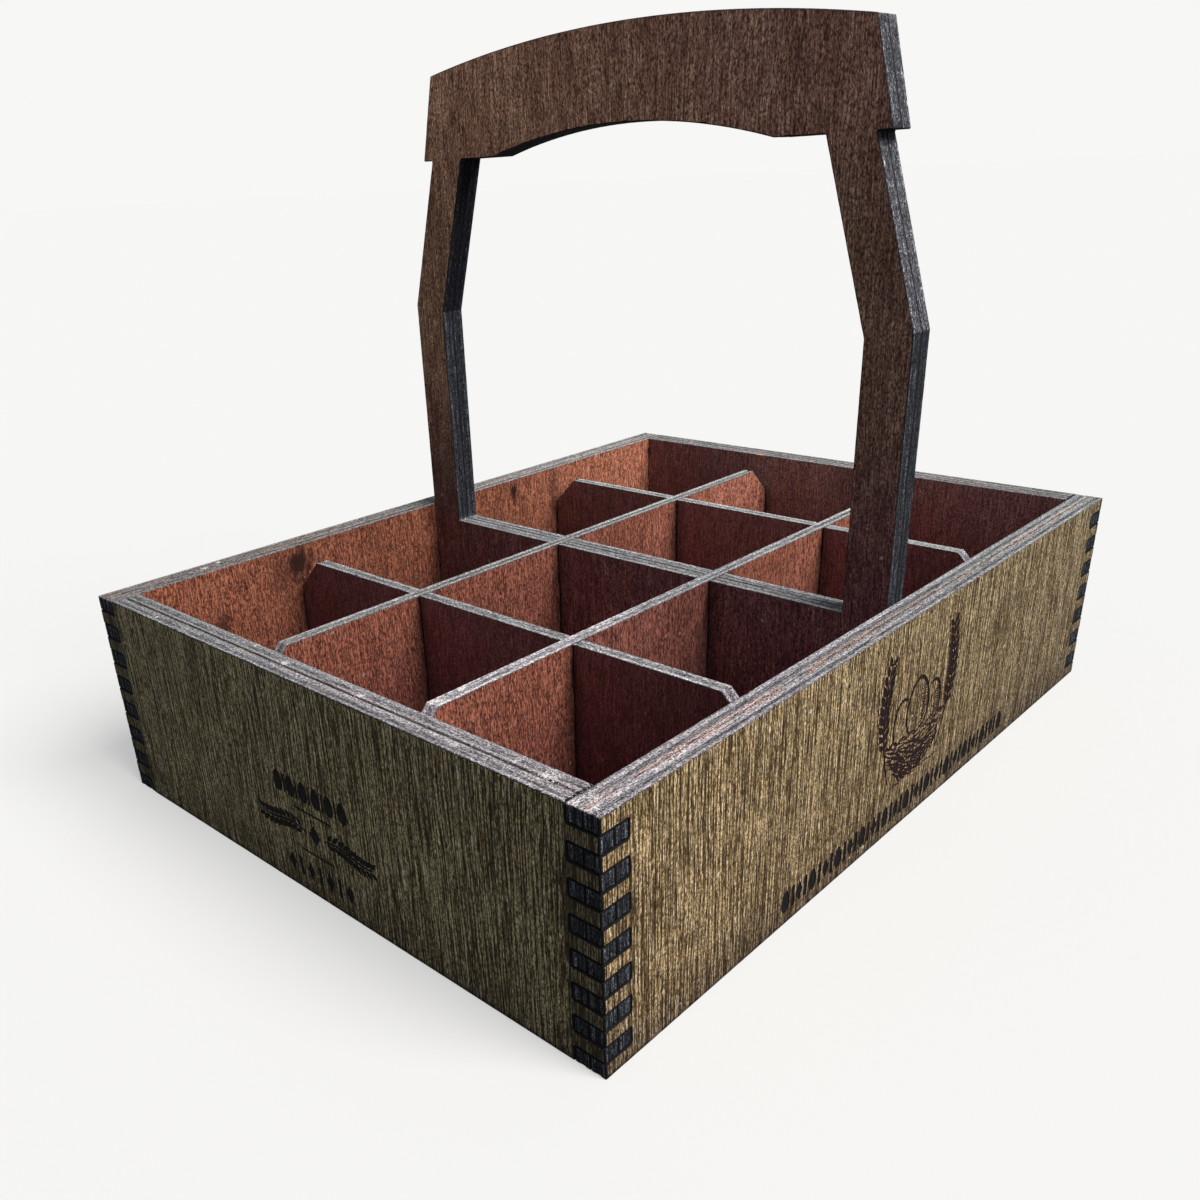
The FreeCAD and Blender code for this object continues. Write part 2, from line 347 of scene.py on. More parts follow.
def wheat(x0, y0, side, tall, lean, grains=10, size=3.5):
    """A bowed ear of wheat: its stalk, paired grains and awns."""
    out = []
    path = []
    for i in range(15):
        t = i / 14
        path.append((x0 + side * (lean * math.sin(t * 2.45)), y0 + tall * t))
    out.append(stroke(path, 0.95, 0.55))
    for k in range(grains):
        t = 0.34 + 0.64 * k / (grains - 1)
        i = min(13, int(t * 14))
        f = t * 14 - i
        x = path[i][0] + (path[i + 1][0] - path[i][0]) * f
        y = path[i][1] + (path[i + 1][1] - path[i][1]) * f
        run = math.atan2(path[i + 1][1] - path[i][1], path[i + 1][0] - path[i][0])
        scale = 0.8 + 0.35 * math.sin(math.pi * (k + 1) / (grains + 1))
        for hand in (-1, 1):
            angle = run + hand * 0.55
            gx = x + math.cos(run + hand * 1.57) * 0.55
            gy = y + math.sin(run + hand * 1.57) * 0.55
            out.append(leaf(gx, gy, angle, size * scale, 1.7 * scale))
            ex = gx + math.cos(angle) * size * scale * 1.12
            ey = gy + math.sin(angle) * size * scale * 1.12
            out.append(stroke(bow(ex, ey, ex + math.cos(angle - hand * 0.3) * 2.4,
                                  ey + math.sin(angle - hand * 0.3) * 2.4, 0.1 * hand, 4), 0.42))
    return out


def egg_drawn(cx, cy, w, h, turn, hidden, floor_y, rng):
    """An egg's outline above floor_y and outside the egg that hides it, with
    hatching on its shaded side and speckles."""
    out = []

    def covered(x, y):
        return hidden is not None and math.hypot((x - hidden[0]) / hidden[2],
                                                 (y - hidden[1]) / hidden[3]) < 1.07

    n = 44
    ring = [None if covered(x, y) or y < floor_y else (x, y)
            for x, y in oval(cx, cy, w, h, turn, n, 0.12)]
    start = next((i for i in range(n) if ring[i - 1] is None and ring[i] is not None), 0)
    run = []
    for k in range(n + 1):
        q = ring[(start + k) % n] if k < n else None
        if q is not None:
            run.append(q)
            continue
        if len(run) > 2:
            out.append(stroke(run, 1.10, 0.65))
        run = []
    c, s = math.cos(turn), math.sin(turn)
    for k in range(15):
        f = -0.74 + 1.5 * k / 14
        y = f * h * 0.92
        wide = w * math.sqrt(max(0.0, 1 - f * f))
        x0, x1 = wide * (0.20 + 0.12 * (k % 3)), wide * 0.96
        a = (cx + x0 * c - y * s, cy + x0 * s + y * c)
        b = (cx + x1 * c - (y + 0.8) * s, cy + x1 * s + (y + 0.8) * c)
        clear = not covered(*a) and not covered(*b) and not covered(b[0] + 0.8, b[1])
        if clear and min(a[1], b[1]) > floor_y + 0.2 and x1 - x0 > 0.8:
            out.append(stroke(bow(a[0], a[1], b[0], b[1], -0.3, 5), 0.50))
    for k in range(16):
        f, g = rng.uniform(-0.8, 0.15), rng.uniform(-0.8, 0.8)
        x, y = cx + f * w * 0.8, cy + g * h * 0.8
        if f * f + g * g < 0.7 and not covered(x, y) and y > floor_y + 0.6:
            r = rng.uniform(0.16, 0.30)
            out.append(oval(x, y, r, r * 1.2, 0, 7))
    return out


def nest_emblem(cx, cy):
    """Eggs in a nest between two ears of wheat, about 42 mm wide, 41 high."""
    rng = np.random.default_rng(11)
    out = []
    brim = cy + 0.6
    front = (cx - 0.2, cy + 8.0, 5.8, 8.0)
    out += egg_drawn(cx - 7.6, cy + 5.6, 5.3, 7.2, 0.26, front, brim + 1.0, rng)
    out += egg_drawn(cx + 7.3, cy + 5.3, 5.3, 7.1, -0.24, front, brim + 1.0, rng)
    out += egg_drawn(front[0], front[1], front[2], front[3], 0.02, None, brim + 0.4, rng)
    # the nest: bowed twigs that follow its bowl
    for k in range(150):
        u = -1 + 2 * ((k * 0.618034) % 1.0)
        down = ((k * 0.414214) % 1.0) ** 0.85
        half = 14.6 * math.sqrt(max(0.04, 1 - down * down * 0.80))
        x = cx + u * half
        y = brim - 0.4 - down * 10.6 + 1.4 * u * u * (1 - down)
        length = rng.uniform(2.6, 6.2)
        tilt = rng.normal(0, 0.22) + 0.95 * u * (0.25 + 0.75 * down)
        dx, dy = math.cos(tilt) * length / 2, math.sin(tilt) * length / 2
        out.append(stroke(bow(x - dx, y - dy, x + dx, y + dy, rng.uniform(-0.7, 0.1), 6),
                          rng.uniform(0.42, 0.80)))
    for k in range(13):
        u = -1 + 2 * k / 12
        x, y = cx + u * 14.8, brim + 0.9 * u * u
        out.append(stroke(bow(x - 2.1, y - 0.5 * u, x + 2.1, y + 0.5 + 0.5 * u,
                              0.5 if k % 2 else -0.4, 5), 0.78))
    # stray ends at both sides, and straws under it
    for k in range(10):
        side = -1 if k % 2 else 1
        x, y = cx + side * rng.uniform(12.5, 14.5), brim - rng.uniform(-0.8, 4.5)
        out.append(stroke(bow(x, y, x + side * rng.uniform(1.6, 3.2), y + rng.uniform(-0.6, 2.0),
                              0.3 * side, 5), 0.42))
    for k in range(8):
        x = cx - 12 + k * 3.3
        out.append(stroke(bow(x, cy - 11.4 - 0.6 * (k % 2), x + rng.uniform(3, 5.5),
                              cy - 11.9 + 0.5 * (k % 3), 0.3, 5), 0.46))
    out += wheat(cx - 13.4, cy - 9.5, -1, 35.0, 5.2)
    out += wheat(cx + 13.4, cy - 9.5, 1, 35.0, 5.2)
    return out


def border_row(x0, x1, y):
    """A low ornamental border of eggs, lozenges and bars."""
    pitch = (3.2, 2.7, 2.7, 3.2)
    marks = [x0 + 1.6]
    while marks[-1] + pitch[(len(marks) - 1) % 4] < x1 - 1.2:
        marks.append(marks[-1] + pitch[(len(marks) - 1) % 4])
    shift = (x1 - 1.6 - marks[-1]) / 2
    out = []
    for k, x in enumerate(marks):
        x += shift
        if k % 4 == 0:
            out.append(oval(x, y, 1.65, 3.05, 0, 18, 0.16))
        elif k % 2:
            out.append(block(x - 0.68, y - 2.9, x + 0.68, y + 2.9))
        else:
            out.append(lozenge(x, y, 2.9, 6.0))
    return out


def stacked_panel(cy, top):
    """The short wall's ornament: three rows with two thin rules between."""
    out = []
    for k in range(6):
        out.append(oval(cy + (k - 2.5) * 5.1, top - 3.0, 1.85, 3.0, 0, 18, 0.16))
    for k in range(5):
        out.append(block(cy + (k - 2) * 5.1 - 0.32, top - 5.6, cy + (k - 2) * 5.1 + 0.32, top - 0.4))
    out.append(block(cy - 7.4, top - 8.7, cy + 7.4, top - 8.1))
    mid = top - 14.2

    def stem(u):
        return 0.7 * math.sin(u * 0.30)

    for side in (-1, 1):
        out.append(stroke([(cy + side * (3.6 + 18.6 * i / 11), mid + stem(18.6 * i / 11))
                           for i in range(12)], 0.75, 0.6))
        for k in range(9):
            u = 1.6 + 2.0 * k
            scale = 0.86 + 0.30 * math.sin(math.pi * (k + 1) / 10)
            for hand in (-1, 1):
                turn = math.atan2(stem(u + 0.1) - stem(u), 0.1) + hand * 0.60
                angle = turn if side > 0 else math.pi - turn
                out.append(leaf(cy + side * (3.6 + u), mid + stem(u) + hand * 0.5, angle,
                                3.3 * scale, 1.35 * scale))
    out.append(lozenge(cy, mid, 4.4, 6.2))
    out.append(block(cy - 6.6, top - 20.4, cy + 6.6, top - 19.8))
    low = top - 25.9
    for k in range(7):
        x = cy + (k - 3) * 3.9
        out.append(lozenge(x, low, 3.1, 5.6) if k % 2 == 0 else
                   block(x - 0.6, low - 2.7, x + 0.6, low + 2.7))
    return out


# ----------------------------------------------------------------- materials


class Shader:
    """A few words for writing node trees."""

    def __init__(self, name):
        self.material = bpy.data.materials.new(name)
        self.material.use_nodes = True
        self.tree = self.material.node_tree
        self.tree.nodes.clear()

    def node(self, kind, **settings):
        made = self.tree.nodes.new(kind)
        for key, value in settings.items():
            setattr(made, key, value)
        return made

    def feed(self, socket, value):
        if isinstance(value, bpy.types.NodeSocket):
            self.tree.links.new(value, socket)
        else:
            socket.default_value = value

    def math(self, operation, a, b=None, clamp=False):
        made = self.node("ShaderNodeMath", operation=operation, use_clamp=clamp)
        self.feed(made.inputs[0], a)
        if b is not None:
            self.feed(made.inputs[1], b)
        return made.outputs[0]

    def vector(self, operation, a, b=None):
        made = self.node("ShaderNodeVectorMath", operation=operation)
        self.feed(made.inputs[0], a)
        if b is not None:
            self.feed(made.inputs[1], b)
        return made.outputs["Value" if operation in ("LENGTH", "DISTANCE") else "Vector"]

    def noise(self, vector, scale=1.0, detail=3.0, roughness=0.55, distortion=0.0):
        made = self.node("ShaderNodeTexNoise")
        self.feed(made.inputs["Vector"], vector)
        made.inputs["Scale"].default_value = scale
        made.inputs["Detail"].default_value = detail
        made.inputs["Roughness"].default_value = roughness
        made.inputs["Distortion"].default_value = distortion
        return made.outputs["Fac"]

    def span(self, value, low, high, to_low=0.0, to_high=1.0, smooth=False):
        made = self.node("ShaderNodeMapRange", clamp=True)
        made.interpolation_type = "SMOOTHSTEP" if smooth else "LINEAR"
        self.feed(made.inputs["Value"], value)
        for key, number in (("From Min", low), ("From Max", high),
                            ("To Min", to_low), ("To Max", to_high)):
            self.feed(made.inputs[key], number)
        return made.outputs["Result"]

    def ramp(self, value, stops):
        made = self.node("ShaderNodeValToRGB")
        self.feed(made.inputs["Fac"], value)
        elements = made.color_ramp.elements
        while len(elements) > 1:
            elements.remove(elements[-1])
        elements[0].position, elements[0].color = stops[0][0], (*stops[0][1], 1)
        for place, colour in stops[1:]:
            element = elements.new(place)
            element.color = (*colour, 1)
        return made.outputs["Color"]

    def mix(self, share, a, b, blend="MIX"):
        made = self.node("ShaderNodeMix", data_type="RGBA", blend_type=blend)
        made.clamp_factor = True
        self.feed(made.inputs["Factor"], share)
        for key, value in (("A", a), ("B", b)):
            socket = next(s for s in made.inputs if s.name == key and s.type == "RGBA")
            self.feed(socket, (*value, 1) if isinstance(value, tuple) and len(value) == 3 else value)
        return next(s for s in made.outputs if s.type == "RGBA")

    def choose(self, share, a, b):
        """A vector: a where share is 0, b where it is 1."""
        made = self.node("ShaderNodeMix", data_type="VECTOR")
        self.feed(made.inputs["Factor"], share)
        for key, value in (("A", a), ("B", b)):
            self.feed(next(s for s in made.inputs if s.name == key and s.type == "VECTOR"), value)
        return next(s for s in made.outputs if s.type == "VECTOR")

    def finish(self, colour, roughness, height=None, distance=0.00012, strength=0.6,
               specular=0.35):
        shader = self.node("ShaderNodeBsdfPrincipled")
        self.feed(shader.inputs["Base Color"], colour)
        self.feed(shader.inputs["Roughness"], roughness)
        shader.inputs["Specular IOR Level"].default_value = specular
        if height is not None:
            bump = self.node("ShaderNodeBump")
            bump.inputs["Strength"].default_value = strength
            bump.inputs["Distance"].default_value = distance
            self.feed(bump.inputs["Height"], height)
            self.tree.links.new(bump.outputs["Normal"], shader.inputs["Normal"])
        out = self.node("ShaderNodeOutputMaterial")
        self.tree.links.new(shader.outputs["BSDF"], out.inputs["Surface"])
        return self.material

    def place(self, seed):
        """The row frame's position in millimetres, shifted so that no two
        sheets share a pattern."""
        source = self.node("ShaderNodeTexCoord").outputs["Object"]
        mm = self.vector("MULTIPLY", source, (1000.0, 1000.0, 1000.0))
        rng = np.random.default_rng(1000 + seed)
        shift = tuple(float(v) for v in rng.uniform(-400, 400, 3))
        return mm, self.vector("ADD", mm, shift)


def stained_veneer(name, seed, along, dark, middle, light, pore, tone=(0.90, 1.10), wander=2.0,
                   lines=0.75, grit=0.30, spacing=0.6, recipe=(0.36, 0.40, 0.24), reach=1.0,
                   sharp=0.062, smudges=(), halo=None, halo_share=0.6, fades=(), joint_char_and_shade=(),
                   joint_axis=0, joint_top=None, specks=0.0, specular=0.3, rough=(0.6, 0.85),
                   blend=None, glints=0.0, tints=(1.16, 1.5), open_grain=0.40,
                   steady=0.2, ridges=0.0, pitch=1.15):
    """An open-grained, brushed face veneer under a matt stain.

    along is the grain's direction: 0, 1 or 2; wander says how far its lines
    bend, spacing is about their distance in millimetres, recipe the shares of
    rays, brush marks and short dashes, reach how long they are, and a smaller
    sharp means more contrast. smudges are dark stains, each (x, y, z, radius,
    height over width, strength). halo darkens the face beside the finger
    joints. fades are (axis, from, to, factor at from, factor at to), each
    factor a colour, and a sixth item (axis, from, to) lets a fade run out
    there. burns are (place along joint_axis, half width) of the sheets that
    meet this one, up to joint_top: beside each a narrow dark band of char
    rubbed off them, and a wider soft band of painted shade. blend is (other
    palette, axis, from, to): the colour goes over into another palette.
    glints says how strong the light, planed fibres are, partly a painted
    highlight where it is set strongest, on the lit red faces; tints are the
    powers of green and blue over red from shade to light, and open_grain says
    how much of the face is short, deep pores. steady is how strong the long
    pores stay where they are weakest. ridges is how far the wire brush has
    left the grain standing, in lines about pitch millimetres apart.
    """
    s = Shader(name)
    mm, p = s.place(seed)
    where = s.node("ShaderNodeSeparateXYZ")
    s.feed(where.inputs[0], mm)

    def stretched(across, long):
        factor = [across] * 3
        factor[along] = long
        return s.vector("MULTIPLY", p, tuple(factor))

    def stained(value):
        made = s.node("ShaderNodeCombineXYZ")
        s.feed(made.inputs[0], value)
        s.feed(made.inputs[1], s.math("POWER", value, tints[0]))
        s.feed(made.inputs[2], s.math("POWER", value, tints[1]))
        return made.outputs[0]

    bend = s.noise(stretched(0.05, 0.018), detail=1.0)
    sway = s.math("MULTIPLY", s.math("SUBTRACT", bend, 0.5), wander)
    combine = s.node("ShaderNodeCombineXYZ")
    for axis in range(3):
        if axis != along:
            s.feed(combine.inputs[axis], sway)
    p = s.vector("ADD", p, combine.outputs[0])

    k = 1.0 / spacing
    r = 1.0 / reach
    broad = s.noise(stretched(0.10, 0.014), detail=2.0)
    blotch = s.noise(stretched(0.30, 0.12), detail=3.0, roughness=0.6)
    ray = s.noise(stretched(1.15 * k, 0.055 * r), detail=1.2, roughness=0.6)
    brushed = s.noise(stretched(1.35 * k, 0.10 * r), detail=1.5, roughness=0.65)
    vessel = s.noise(stretched(0.80 * k, 0.032 * r), detail=1.0, roughness=0.6)
    dash = s.noise(stretched(1.60 * k, 0.75 * r), detail=1.0, roughness=0.5)
    grain = s.noise(stretched(2.8, 1.3), detail=2.0, roughness=0.8)
    mottle = s.noise(stretched(1.5, 0.6), detail=1.0)
    breaks = s.noise(stretched(1.1, 0.22), detail=1.5)

    ground = s.math("ADD", s.math("MULTIPLY", ray, recipe[0]), s.math("MULTIPLY", brushed, recipe[1]))
    ground = s.math("ADD", ground, s.math("MULTIPLY", dash, recipe[2]))
    if ridges:
        plain = s.node("ShaderNodeSeparateXYZ")
        s.feed(plain.inputs[0], p)
        first, second = [plain.outputs[axis] for axis in range(3) if axis != along]
        drift = s.noise(stretched(0.50, 0.035), detail=1.5, roughness=0.6)
        comb = s.math("SINE", s.math("ADD", s.math("MULTIPLY", s.math("ADD", first, second), 2 * math.pi / pitch),
                                     s.math("MULTIPLY", drift, 16.0)))
        ground = s.math("ADD", ground, s.math("MULTIPLY", comb, ridges))
        groove = s.math("MULTIPLY", s.span(comb, -0.55, -0.92), s.span(brushed, 0.54, 0.44))
    level = s.span(ground, 0.5 - sharp, 0.5 + sharp)

    def stain(palette):
        made = s.ramp(level, [(0.0, palette["dark"]), (0.45, palette["middle"]),
                              (1.0, palette["light"])])
        pit = s.span(s.math("ABSOLUTE", s.math("SUBTRACT", vessel, 0.5)), 0.018, 0.066, 1.0, 0.0)
        pit = s.math("MULTIPLY", pit, s.span(breaks, 0.40, 0.54, steady, 1.0))
        pit = s.math("MAXIMUM", pit, s.math("MULTIPLY", s.span(dash, open_grain, open_grain - 0.06), 0.9))
        if ridges:
            pit = s.math("MAXIMUM", pit, groove)
        return s.mix(s.math("MULTIPLY", pit, lines), made, palette["pore"]), pit

    palette = dict(dark=dark, middle=middle, light=light, pore=pore)
    colour, pit = stain(palette)
    if blend is not None:
        other, axis, start, end = blend
        share = s.math("ADD", where.outputs[axis],
                       s.math("MULTIPLY", s.math("SUBTRACT", blotch, 0.5), 40.0))
        colour = s.mix(s.span(share, start, end, 1.0, 0.0, True), colour, stain(other)[0])

    shade = s.math("ADD", s.math("MULTIPLY", broad, 0.55), s.math("MULTIPLY", blotch, 0.45))
    shade = s.span(shade, 0.38, 0.62, tone[0], tone[1])
    shade = s.math("MULTIPLY", shade, s.span(grain, 0.40, 0.60, 1.0 - grit, 1.0 + grit * 1.1))
    shade = s.math("MULTIPLY", shade, s.span(mottle, 0.38, 0.62, 1.0 - grit * 0.16, 1.0 + grit * 0.16))
    colour = s.mix(1.0, colour, stained(shade), "MULTIPLY")
    # light, planed fibres, partly a painted highlight: set strongest on the lit red faces
    if glints:
        flash = s.noise(stretched(2.3, 0.5), detail=1.5, roughness=0.6)
        colour = s.mix(s.span(flash, 0.54, 0.64, 0.0, glints), colour, tuple(v * 1.55 for v in light))

    for axis, start, end, first, last, *only in fades:
        share = s.math("ADD", where.outputs[axis],
                       s.math("MULTIPLY", s.math("SUBTRACT", blotch, 0.5), abs(end - start) * 0.5))
        share = s.span(share, start, end, 0.0, 1.0, True)
        factor = s.mix(share, first, last)
        if only:
            axis, start, end = only[0]
            factor = s.mix(s.span(where.outputs[axis], start, end, 0.0, 1.0, True), factor, (1.0, 1.0, 1.0))
        colour = s.mix(1.0, colour, factor, "MULTIPLY")

    if smudges:
        ragged = s.noise(stretched(0.55, 0.30), detail=3.0, roughness=0.65)
    for x, y, z, radius, tall, strength in smudges:
        away = s.vector("MULTIPLY", s.vector("SUBTRACT", mm, (x, y, z)), (1.0, 1.0, 1.0 / tall))
        away = s.vector("LENGTH", away)
        away = s.math("ADD", away, s.math("MULTIPLY", s.math("SUBTRACT", ragged, 0.5), radius * 2.0))
        colour = s.mix(s.span(away, radius * 0.25, radius * 1.15, strength, 0.0, True), colour, pore)

    # where other sheets meet this one: a narrow dark band of char rubbed off them and a wider soft band of painted
    # shade
    for x, wide in joint_char_and_shade:
        away = s.math("ABSOLUTE", s.math("SUBTRACT", where.outputs[joint_axis], x))
        away = s.math("ADD", away, s.math("MULTIPLY", s.math("SUBTRACT", breaks, 0.5), 2.4))
        share = s.math("MAXIMUM", s.span(away, wide - 0.2, wide + 1.5, 0.93, 0.0, True),
                       s.span(away, wide, wide + 5.5, 0.45, 0.0, True))
        if joint_top is not None:
            share = s.math("MULTIPLY", share, s.span(where.outputs[2], joint_top + 2, joint_top - 3))
        colour = s.mix(share, colour, tuple(v * 0.45 for v in pore))

    if halo is not None:
        axis, start = halo
        share = s.math("ABSOLUTE", where.outputs[axis])
        share = s.math("ADD", share, s.math("MULTIPLY", s.math("SUBTRACT", breaks, 0.5), 5.0))
        burn = s.span(share, start - 4.0, start + 0.4, 0.0, halo_share, True)
        colour = s.mix(burn, colour, tuple(v * 0.7 for v in pore))

    if specks:
        spot = s.node("ShaderNodeTexVoronoi", feature="F1")
        s.feed(spot.inputs["Vector"], p)
        spot.inputs["Scale"].default_value = 0.12
        size = s.noise(p, scale=0.9, detail=2.0)
        dot = s.math("ADD", spot.outputs["Distance"],
                     s.math("MULTIPLY", s.math("SUBTRACT", size, 0.5), 0.16))
        colour = s.mix(s.span(dot, 0.045, 0.065, specks, 0.0), colour, (0.66, 0.58, 0.46))

    height = s.math("SUBTRACT", s.math("MULTIPLY", ground, 0.9), s.math("MULTIPLY", pit, 0.35))
    height = s.math("ADD", height, s.math("MULTIPLY", grain, 0.25))
    roughness = s.span(ground, 0.4, 0.6, rough[1], rough[0])
    return s.finish(colour, roughness, height, 0.00026, 0.85, specular)


def cut_edge(name, seed, across, start, thickness, along, flip=False, seam=None, top=None,
             fingers=False, warm=0.3, dust=0.4, side=1.0, contrast=1.0, level=None, glue=0.0,
             ends=None, clumps=(), chips=(), arris=0.0, dashed=0.0, core_at=None, stripes=1.0,
             solid=0.10, gape=0.0):
    """The laser-cut edge of a sheet: charred, banded by its three plies, and
    coloured by which way it faces: light grey facing up, as a painted
    reflection of the sky, dark sideways and near black facing down, as
    painted shade, with dust on its top.

    across is the axis through the sheet, start where depth 0 lies, along the
    axis the plies' streaks follow. flip says that depth runs down. seam is
    "low" or "high" where another sheet is glued on. Below top an edge that
    faces up is no lighter than the others. fingers draws the char where the
    beam turned at the finger ends' outline. side scales the upright edges,
    level (axis, from, to, colour at from, colour at to) those that face up.
    glue darkens a band beside the seam. ends is how far from the middle the
    rim stops against the next wall: the beam left it black there. clumps are
    (x, y, z, radius) where splinters and dust cling, chips where the wood is
    torn out pale. arris darkens the edge of face A with a line of painted
    shade, dashed breaks the glue line up, core_at is where the dark core lies,
    stripes how strong the upright edges' lines are, solid how unbroken the
    core is and gape how much wider the glue line.
    """
    s = Shader(name)
    mm, p = s.place(seed)
    parts = s.node("ShaderNodeSeparateXYZ")
    s.feed(parts.inputs[0], mm)
    depth = s.math("SUBTRACT", parts.outputs[across], start)
    if flip:
        depth = s.math("MULTIPLY", depth, -1.0)

    # an edge that faces up shows the plies' lines along it, an upright one
    # shows them upright
    normal = s.node("ShaderNodeSeparateXYZ")
    s.feed(normal.inputs[0], s.node("ShaderNodeNewGeometry").outputs["Normal"])
    up = normal.outputs[2]
    lying = s.span(s.math("ABSOLUTE", up), 0.45, 0.65)

    def stretched(cross, long):
        flat, upright = [cross] * 3, [cross] * 3
        flat[along] = long
        upright[2] = long
        return s.choose(lying, s.vector("MULTIPLY", p, tuple(upright)),
                        s.vector("MULTIPLY", p, tuple(flat)))

    waver = s.noise(stretched(0.5, 0.13), detail=3.0, roughness=0.6)
    deep = s.math("ADD", depth, s.math("MULTIPLY", s.math("SUBTRACT", waver, 0.5), 0.75))

    streak = s.noise(stretched(2.6, 0.14), detail=2.0, roughness=0.6)
    fine = s.noise(stretched(3.3, 0.95), detail=1.5, roughness=0.6)
    grit = s.noise(p, scale=2.4, detail=2.5, roughness=0.85)
    wire = s.noise(stretched(1.25, 0.05), detail=1.5, roughness=0.6)
    wires = s.span(s.math("ABSOLUTE", s.math("SUBTRACT", wire, 0.5)), 0.010, 0.055, 1.0, 0.0)
    bands = s.noise(stretched(0.8, 0.008), detail=1.0)
    patch = s.noise(stretched(0.16, 0.05), detail=2.0)

    # painted light and shade: the ply colours follow which way the edge faces, light grey facing up as a painted
    # reflection of the sky, near black facing sideways and down
    if top is not None:
        up = s.math("MULTIPLY", up, s.span(parts.outputs[2], top - 0.8, top - 0.3))
    facing = s.span(up, -1.0, 1.0)
    face_ply = s.ramp(facing, [
        (0.0, (0.013, 0.0135, 0.016)), (0.36, (0.022 * side, 0.0215 * side, 0.030 * side)),
        (0.50, (0.042 * side, 0.0460 * side, 0.056 * side)), (0.64, (0.092, 0.093, 0.107)),
        (0.85, (0.232, 0.206, 0.236)), (1.0, (0.342, 0.335, 0.343))])
    core_ply = s.ramp(facing, [
        (0.0, (0.004, 0.004, 0.005)), (0.36, (0.004, 0.004, 0.006)),
        (0.50, (0.012 * side, 0.013 * side, 0.017 * side)), (0.64, (0.028, 0.029, 0.036)),
        (0.85, (0.048, 0.048, 0.054)), (1.0, (0.062, 0.062, 0.069))])

    half = thickness / 2
    core = s.span(s.math("ABSOLUTE", s.math("SUBTRACT", deep, half if core_at is None else core_at)),
                  0.35, 0.80, 0.88, 0.0, True)
    broken = s.span(streak, 0.42, 0.58, 1.0, solid)
    core = s.math("MULTIPLY", core, broken)
    # single dark threads outside the core
    thread = s.math("MULTIPLY", wires, s.math("MULTIPLY", lying, s.span(streak, 0.44, 0.56)))
    colour = s.mix(s.math("MAXIMUM", core, s.math("MULTIPLY", thread, 0.8)), face_ply, core_ply)

    # wood that the char has left bare, along the glue line and in patches
    raw = s.mix(s.span(grit, 0.44, 0.56), (0.25, 0.128, 0.090), (0.62, 0.42, 0.33))
    beside = s.span(s.math("ABSOLUTE", s.math("SUBTRACT", deep, half)), 0.75, 1.25)
    if seam == "high":
        beside = s.math("MULTIPLY", beside, s.span(depth, half, half + 0.6))
    if seam == "low":
        beside = s.math("MULTIPLY", beside, s.span(depth, half, half - 0.6))
    bare = s.math("MULTIPLY", s.span(patch, 0.40, 0.54), s.span(fine, 0.60, 0.46))
    bare = s.math("MULTIPLY", s.math("MULTIPLY", bare, beside), s.span(up, 0.3, 0.8, 0.0, warm))
    colour = s.mix(bare, colour, raw)

    speck = s.math("MULTIPLY", s.span(grit, 0.40, 0.60, 1.0 - 0.60 * contrast, 1.0 + 0.66 * contrast),
                   s.span(fine, 0.40, 0.60, 1.0 - 0.40 * contrast, 1.0 + 0.44 * contrast))
    speck = s.math("MULTIPLY", speck, s.span(bands, 0.38, 0.62, 0.80, 1.20))
    # upright edges are burnt in stripes, with bright lines that the beam left
    stripe = s.math("MULTIPLY", s.span(streak, 0.56, 0.42, 0.40, 1.40), s.span(wires, 0.0, 1.0, 0.60, 2.3))
    stripe = s.math("MULTIPLY", stripe, s.span(grit, 0.46, 0.60, 0.80, 1.9))
    if stripes != 1.0:
        stripe = s.math("ADD", s.math("MULTIPLY", s.math("SUBTRACT", stripe, 1.0), stripes), 1.0)
    speck = s.math("MULTIPLY", speck, s.math("ADD", s.math("MULTIPLY", lying, s.math("SUBTRACT", 1.0, stripe)), stripe))
    tint = s.node("ShaderNodeCombineXYZ")
    for axis in range(3):
        s.feed(tint.inputs[axis], speck)
    colour = s.mix(1.0, colour, tint.outputs[0], "MULTIPLY")
    if level is not None:
        axis, first, last, at_first, at_last = level
        tone = s.mix(s.span(parts.outputs[axis], first, last), at_first, at_last)
        colour = s.mix(lying, colour, s.mix(1.0, colour, tone, "MULTIPLY"))

    # the glue line
    if seam is not None:
        line = depth if seam == "low" else s.math("SUBTRACT", thickness, depth)
        line = s.math("ADD", line, s.math("MULTIPLY", s.math("SUBTRACT", streak, 0.5), 0.7))
        if glue:
            colour = s.mix(s.span(line, 0.5, 1.5, glue, 0.0, True), colour, core_ply)
        share = s.span(line, 0.16 + gape, 0.30 + gape * 1.6, 0.95, 0.0)
        if dashed:
            dots = s.noise(stretched(0.9, 0.30), detail=1.5)
            share = s.math("MULTIPLY", share, s.math("MAXIMUM", s.span(dots, 0.50, 0.56), 1.0 - dashed))
        colour = s.mix(share, colour, (0.010, 0.009, 0.010))
    # painted shade: a dark line along the arris of face A
    if arris:
        line = s.math("ADD", depth, s.math("MULTIPLY", s.math("SUBTRACT", fine, 0.5), 0.5))
        colour = s.mix(s.span(line, 0.18, 0.40, arris, 0.0), colour, (0.012, 0.011, 0.010))

